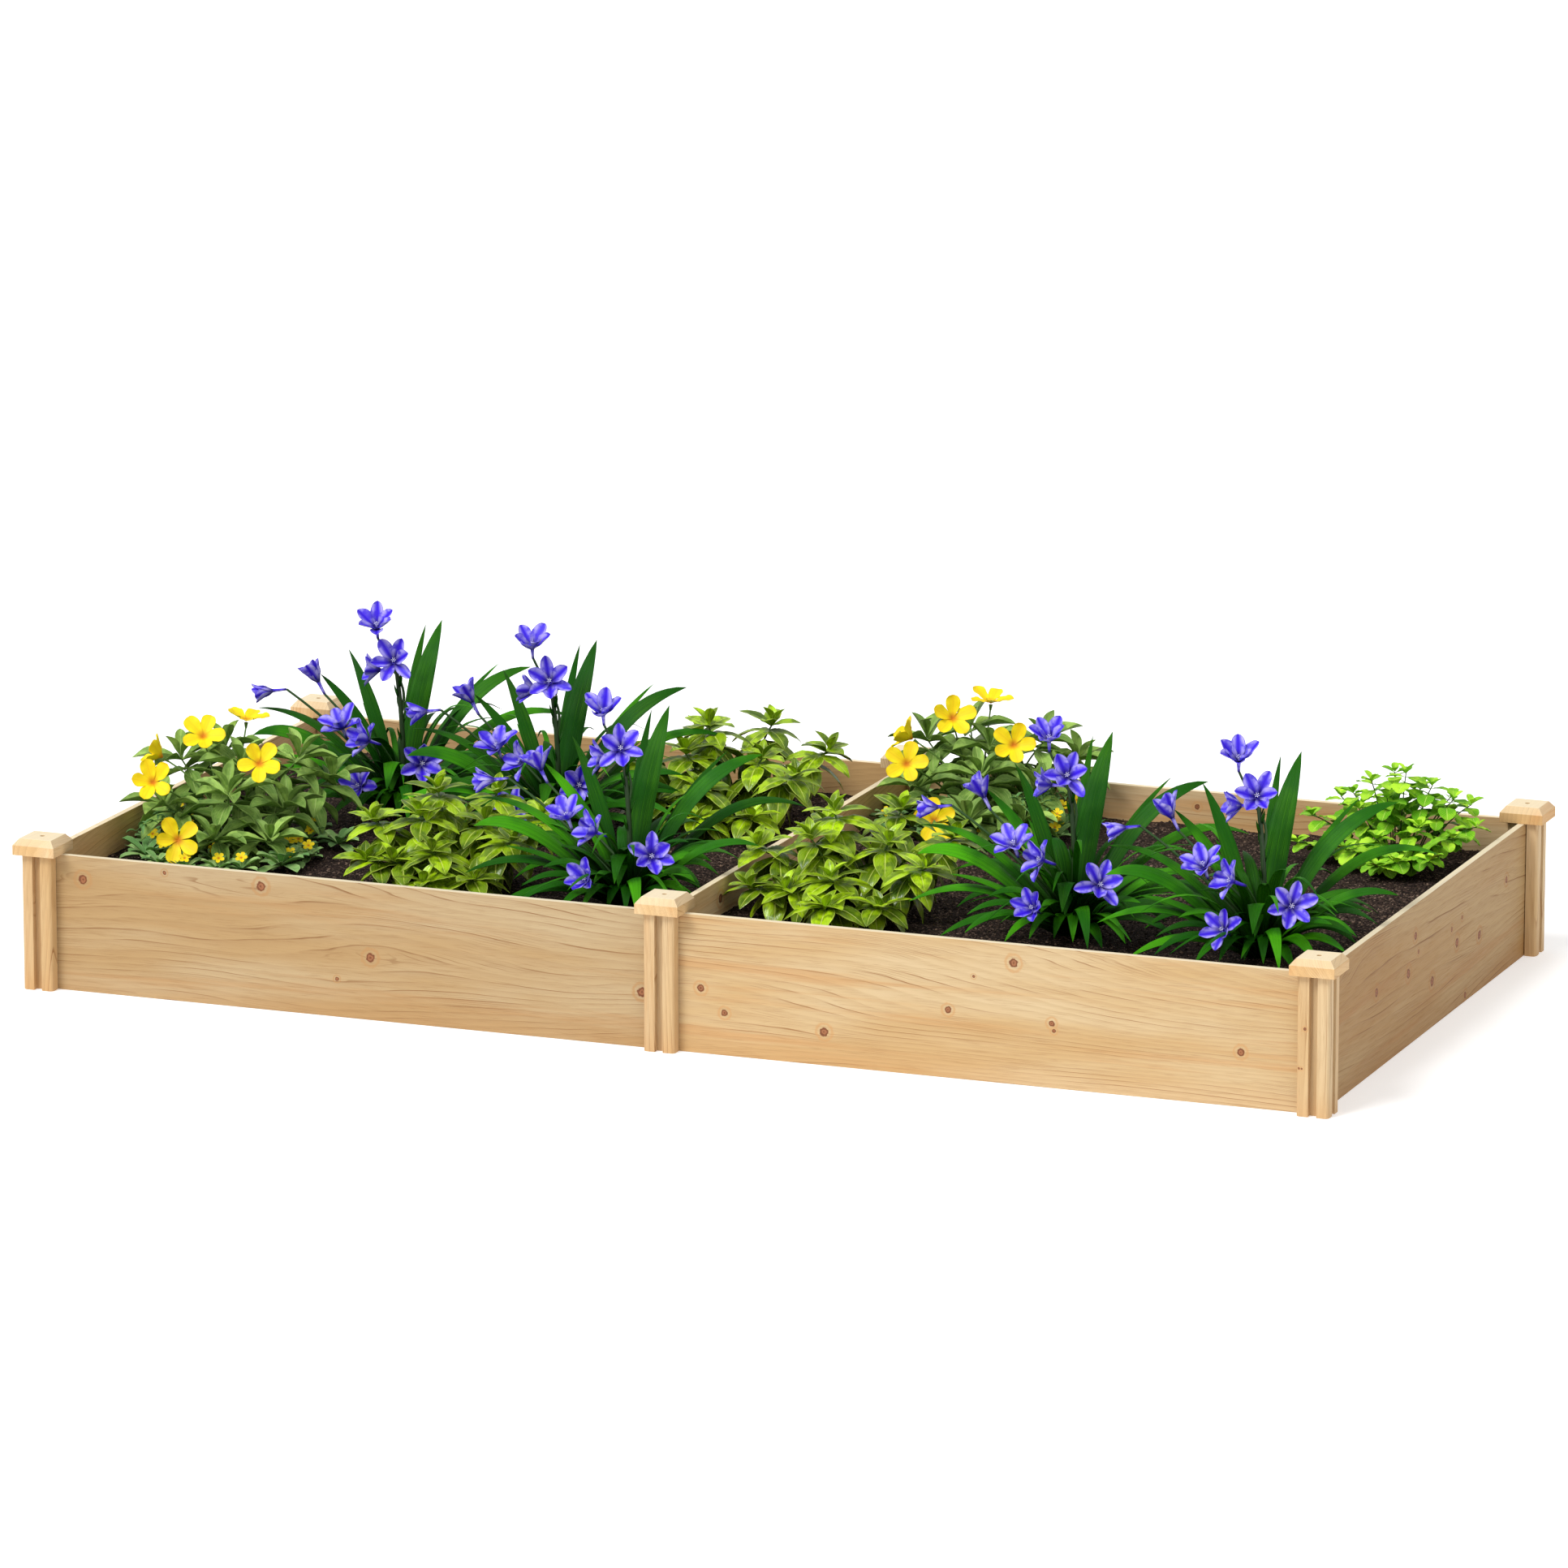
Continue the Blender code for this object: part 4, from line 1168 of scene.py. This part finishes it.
def grow_shoots(chance, origin, tops, spread, foot_share, whorls, stem_radius, level_off, wobble=0.0):
    """All the shoots of one plant: its leaves and its stems."""
    leaves, stems = Growth(), Stems()
    for top in tops:
        x, y, z = metres(top)
        top = Vector((x * spread, y * spread, z))
        foot = origin + Vector((top.x, top.y, 0.0)) * foot_share - UP * FOOT_DEPTH
        drift = Vector([chance.uniform(-1, 1) for axis in range(3)]) * wobble if wobble else Vector()
        points = (origin, foot, origin + top + drift)
        grow_shoot(chance, leaves, stems, points, whorls, stem_radius, level_off)
    return leaves, stems


def make_shrub(number, place):
    node = f"shrub_{number}"
    leaves, stems = grow_shoots(Random(200 + number), Vector((*place, SOIL_TOP)), SHRUB_TOPS,
                                SHRUB_SPREADS[number - 1], 0.22, SHRUB_WHORLS, 0.0026, 0.45, 0.004)
    leaves.make(f"leaves_{node}", "shrub_leaves", "shrub_leaf", node, "shrub")
    stems.make(f"stems_{node}", "green_stem", node, "shrub")


def make_herb():
    leaves, stems = grow_shoots(Random(400), Vector((*HERB_PLACE, SOIL_TOP)), HERB_TOPS, 1.0, 0.3,
                                HERB_WHORLS, 0.0016, 0.5)
    leaves.make("leaves_herb_1", "herb_leaves", "herb_leaf", "herb_1", "herb")
    stems.make("stems_herb_1", "dark_stem", "herb_1", "herb", 6)


def add_low_bloom(place, foot, turn, stems, petals):
    """A small yellow flower on a thin stem."""
    stems.add([foot, foot.lerp(place, 0.6), place], 0.0008, 0.0006, 3)
    for petal in range(5):
        spoke = petal_turn(LOW_BLOOM_FACING, turn + petal * 72, LOW_BLOOM_OPENING)
        petals.set(place, spoke, LOW_BLOOM_PETAL, 0, 0.6)


def grow_rosettes(chance, origin, leaves, stems, petals):
    """Small rosettes round a yellow-flowered plant, some with a bloom."""
    for rosette in range(LOW_ROSETTES):
        bearing = rosette * 360 / LOW_ROSETTES + chance.uniform(-8, 8)
        centre = origin + heading(bearing) * chance.uniform(0.105, 0.200) + UP * 0.008
        least_x, most_x, most_y = ROSETTE_LIMITS
        if not least_x <= abs(centre.x) <= most_x or abs(centre.y) > most_y:
            continue
        turn = chance.uniform(0, 360)
        spread = chance.uniform(1.1, 1.9)
        for number in range(ROSETTE_LEAVES):
            size = chance.uniform(0.022, 0.030) * spread
            leaf = leaf_turn(turn + number * GOLDEN_TURN, 52 - number * 5)
            leaves.set(centre, leaf, (size, size * 0.48, size), 0, chance.random())
        if chance.random() < 0.5:
            add_low_bloom(centre + UP * 0.020 + heading(turn) * 0.006, centre, turn, stems, petals)


def grow_sprigs(chance, number, origin, leaves, stems, petals):
    """Thin trailing sprigs on a yellow-flowered plant's open side."""
    for sprig in range(SPRIGS):
        bearing = SPRIG_SIDES[number - 1] + chance.uniform(-45, 45)
        out, reach, top = heading(bearing), chance.uniform(0.14, 0.20), chance.uniform(0.035, 0.075)
        if abs(origin.x + out.x * reach) > SPRIG_LIMIT:
            reach = (SPRIG_LIMIT - abs(origin.x)) / abs(out.x)
        path = [origin, origin + out * reach * 0.6 + UP * top * 2.0, origin + out * reach + UP * top]
        stems.add(path, 0.0012, 0.0006, 8, 0.2)
        for step in range(SPRIG_LEAVES):
            leaf = leaf_turn(bearing + step * GOLDEN_TURN, chance.uniform(10, 60))
            size = chance.uniform(0.016, 0.026)
            share = 0.40 + 0.60 * step / (SPRIG_LEAVES - 1)
            leaves.set(curve_point(path, share), leaf, (size, size * 0.28, size), 1, 0.0)
        if sprig % 2:
            add_low_bloom(path[2] + UP * 0.004, path[2], bearing, stems, petals)


def make_yellow_plant(number, place):
    chance = Random(300 + number)
    origin = Vector((*place, SOIL_TOP))
    leaves, shoots = grow_shoots(chance, origin, YELLOW_TOPS, 1.0, 0.25, YELLOW_WHORLS, 0.0024, 0.3)
    low_leaves, low_petals, petals, stalks = Growth(), Growth(), Growth(), Stems()
    grow_rosettes(chance, origin, low_leaves, shoots, low_petals)
    grow_sprigs(chance, number, origin, low_leaves, shoots, low_petals)
    for throat, facing, opening in YELLOW_FLOWERS:
        throat, axis = origin + Vector(metres(throat)), Vector(facing).normalized()
        bend = origin.lerp(throat, 0.5) + UP * 0.05 - axis * 0.05
        stalks.add([origin, bend, throat - axis * 0.012], *YELLOW_STALK_RADII, 9)
        stalks.add([throat - axis * back for back in (0.014, 0.008, 0.003)], *YELLOW_CUP_RADII, 4)
        turn = chance.uniform(0, 72)
        for petal in range(5):
            size = chance.uniform(0.93, 1.07)
            angle = turn + petal * 72 + chance.uniform(-5, 5)
            spoke = petal_turn(facing, angle, opening + chance.uniform(-6, 6))
            petals.set(throat, spoke, (size, size, size), chance.choice((0, 1)), chance.random())
    plant = f"yellow_plant_{number}"
    leaf, petal, stem = "yellow_plant_leaf", "yellow_petal", "green_stem"
    leaves.make(f"leaves_{plant}", "yellow_leaves", leaf, f"{plant}_leaves", leaf)
    shoots.make(f"shoots_{plant}", stem, f"{plant}_leaves", leaf)
    low_leaves.make(f"rosettes_{plant}", "low_leaves", "low_leaf", f"{plant}_leaves", leaf)
    low_petals.make(f"low_petals_{plant}", "low_petals", petal, f"{plant}_leaves", petal)
    petals.make(f"petals_{plant}", "yellow_petals", petal, f"{plant}_flowers", petal)
    stalks.make(f"stalks_{plant}", stem, f"{plant}_flowers", leaf)


# ---- all the plants ----
# Leaf finishes: greens in shade, in light and of the veins, roughness, shares of veins, margin and ribs.
LEAF_FINISHES = (
    ("shrub_leaf", ((32, 72, 0), (188, 230, 14), (226, 240, 116)), 0.30, (0.05, 0.38, 0.12),
     {"Specular_IOR_Level": 0.25, "Coat_Weight": 0.17, "Coat_Roughness": 0.10}),
    ("yellow_plant_leaf", ((76, 116, 40), (166, 202, 96), (186, 212, 124)), 0.55, (0.05, 0.12, 0.40),
     {"Specular_IOR_Level": 0.25}),
    ("low_leaf", ((104, 156, 84), (186, 220, 134), (200, 228, 170)), 0.5, (0.0, 0.2, 0.1),
     {"Specular_IOR_Level": 0.3}),
    ("herb_leaf", ((78, 162, 10), (200, 252, 60), (212, 250, 112)), 0.5, (0.30, 0.0, 0.0),
     {"Specular_IOR_Level": 0.2}),
)
# Petal finishes: throat, middle, edge and line, roughness, reach of the throat, patches, midline.
PETAL_FINISHES = (
    ("lily_petal", ((18, 2, 104), (64, 30, 224), (196, 186, 255), (38, 8, 196)), 0.45, 0.40, 0.15, 0.55),
    ("yellow_petal", ((206, 116, 6), (250, 218, 2), (255, 234, 10), (236, 192, 2)), 0.6, 0.26, 0.4, 0.30),
)
STEM_FINISHES = (
    ("stamen", (235, 232, 255), (255, 255, 255)),
    ("lily_stalk", (26, 44, 18), (44, 92, 22)),
    ("green_stem", (58, 92, 30), (104, 140, 52)),
    ("dark_stem", (34, 42, 28), (70, 100, 40)),
)


def make_plant_finishes():
    marks = make_mark_group()
    make_blade_finish(marks)
    for *leaf, fixed in LEAF_FINISHES:
        make_leaf_finish(marks, *leaf, **fixed)
    for petal in PETAL_FINISHES:
        make_petal_finish(marks, *petal)
    for stem in STEM_FINISHES:
        make_stem_finish(*stem)


def make_plant_shapes():
    make_shapes("lily_petals", 10, 6, PETAL_THICKNESS,
                leaf_shape(PETAL, 0.12, 0.06, 0.10, 2, 0.45, LILY_PETAL, 0.0225),
                leaf_shape(PETAL, 0.42, 0.08, 0.16, 2, 0.40, LILY_PETAL, 0.0215),
                leaf_shape(PETAL, -0.25, 0.06, 0.14, 2, 0.50, LILY_PETAL, 0.0230), tube_shape)
    make_stamens()
    make_shapes("shrub_leaves", 9, 4, LEAF_THICKNESS,
                leaf_shape(LANCE, 0.35, 0.45, cup=-0.15), leaf_shape(LANCE, 0.60, 0.40, 0.02, cup=-0.3),
                leaf_shape(LANCE, 0.85, 0.38, 0.03, cup=-0.35),
                leaf_shape(LANCE, 1.05, 0.36, 0.03, cup=-0.35))
    make_shapes("yellow_leaves", 11, 4, LEAF_THICKNESS, leaf_shape(SPOON, 0.30, 0.35),
                leaf_shape(SPOON, 0.50, 0.12, 0.04, 2, 0.15), leaf_shape(SPOON, 0.80, 0.10, 0.05, 2, 0.12))
    make_shapes("low_leaves", 5, 2, LEAF_THICKNESS, leaf_shape(BROAD_PETAL, 0.45), leaf_shape(LANCE, 1.30))
    make_shapes("low_petals", 4, 2, LEAF_THICKNESS, leaf_shape(BROAD_PETAL, 0.3, 0.2))
    make_shapes("yellow_petals", 10, 6, PETAL_THICKNESS,
                leaf_shape(BROAD_PETAL, 0.35, 0.08, 0.10, 2.5, 0.15, YELLOW_PETAL, 0.027),
                leaf_shape(BROAD_PETAL, -0.15, 0.10, 0.12, 2, 0.18, YELLOW_PETAL, 0.026))
    make_shapes("herb_leaves", 9, 4, LEAF_THICKNESS, leaf_shape(OVATE, 0.35, 0.30, 0.04, 4),
                leaf_shape(OVATE, 0.55, 0.15, 0.05, 5))


def make_plants():
    TREES.update(copies=make_copy_tree(), stems=make_stem_tree())
    make_plant_finishes()
    make_plant_shapes()
    kinds = ((make_lily, LILY_PLACES), (make_shrub, SHRUB_PLACES), (make_yellow_plant, YELLOW_PLACES))
    for make, places in kinds:
        for number, place in enumerate(places, 1):
            make(number, place)
    make_herb()
    remove_shapes()


# ---- light, floor and camera ----
FLOOR_REACH = 60.0
FLOOR_GLOW = 0.38
ROOM_LIGHT = 0.53
WHITE = (1.0, 1.0, 1.0, 1.0)
PALE = (0.88, 0.88, 0.88, 1.0)


def make_sun(name, strength, rotation, angle):
    sun = bpy.data.lights.new(name, "SUN")
    sun.energy = strength
    sun.angle = radians(angle)
    add_object(name, sun).rotation_euler = [radians(turn) for turn in rotation]


def make_stage():
    mesh = bpy.data.meshes.new("floor")
    corners = [(x * FLOOR_REACH, y * FLOOR_REACH, 0.0) for x, y in ((-1, -1), (1, -1), (1, 1), (-1, 1))]
    mesh.from_pydata(corners, [], [(0, 1, 2, 3)])
    floor = add_object("floor", mesh)
    floor.location.z = -0.0005
    new_material("pale_floor", 0.9, Base_Color=PALE, Emission_Color=WHITE, Emission_Strength=FLOOR_GLOW)
    mesh.materials.append(FINISHES["pale_floor"])
    world = bpy.data.worlds.new("studio")
    world.use_nodes = True
    background = world.node_tree.nodes["Background"]
    background.inputs["Color"].default_value = WHITE
    sky = Nodes(world.node_tree)
    seen = sky.add("ShaderNodeLightPath").outputs["Is Camera Ray"]
    sky.feed(background.inputs["Strength"], sky.spread(seen, 0.0, 1.0, ROOM_LIGHT, 1.0))
    bpy.context.scene.world = world
    make_sun("key", 2.45, (42, 0, -30), 26)
    make_sun("fill", 0.45, (55, 0, 60), 50)


def make_camera():
    camera = bpy.data.cameras.new("camera")
    camera.lens = 217.57
    camera.sensor_width = 36.0
    camera.clip_end = 200.0
    seat = add_object("camera", camera)
    seat.location = (5.925, -15.208, 4.149)
    seat.rotation_euler = (radians(90) - 0.2294, 0.0, 0.3722)
    bpy.context.scene.camera = seat
    bpy.context.scene.view_settings.view_transform = "Standard"


make_timbers()
make_screws()
make_soils()
make_plants()
make_stage()
make_camera()
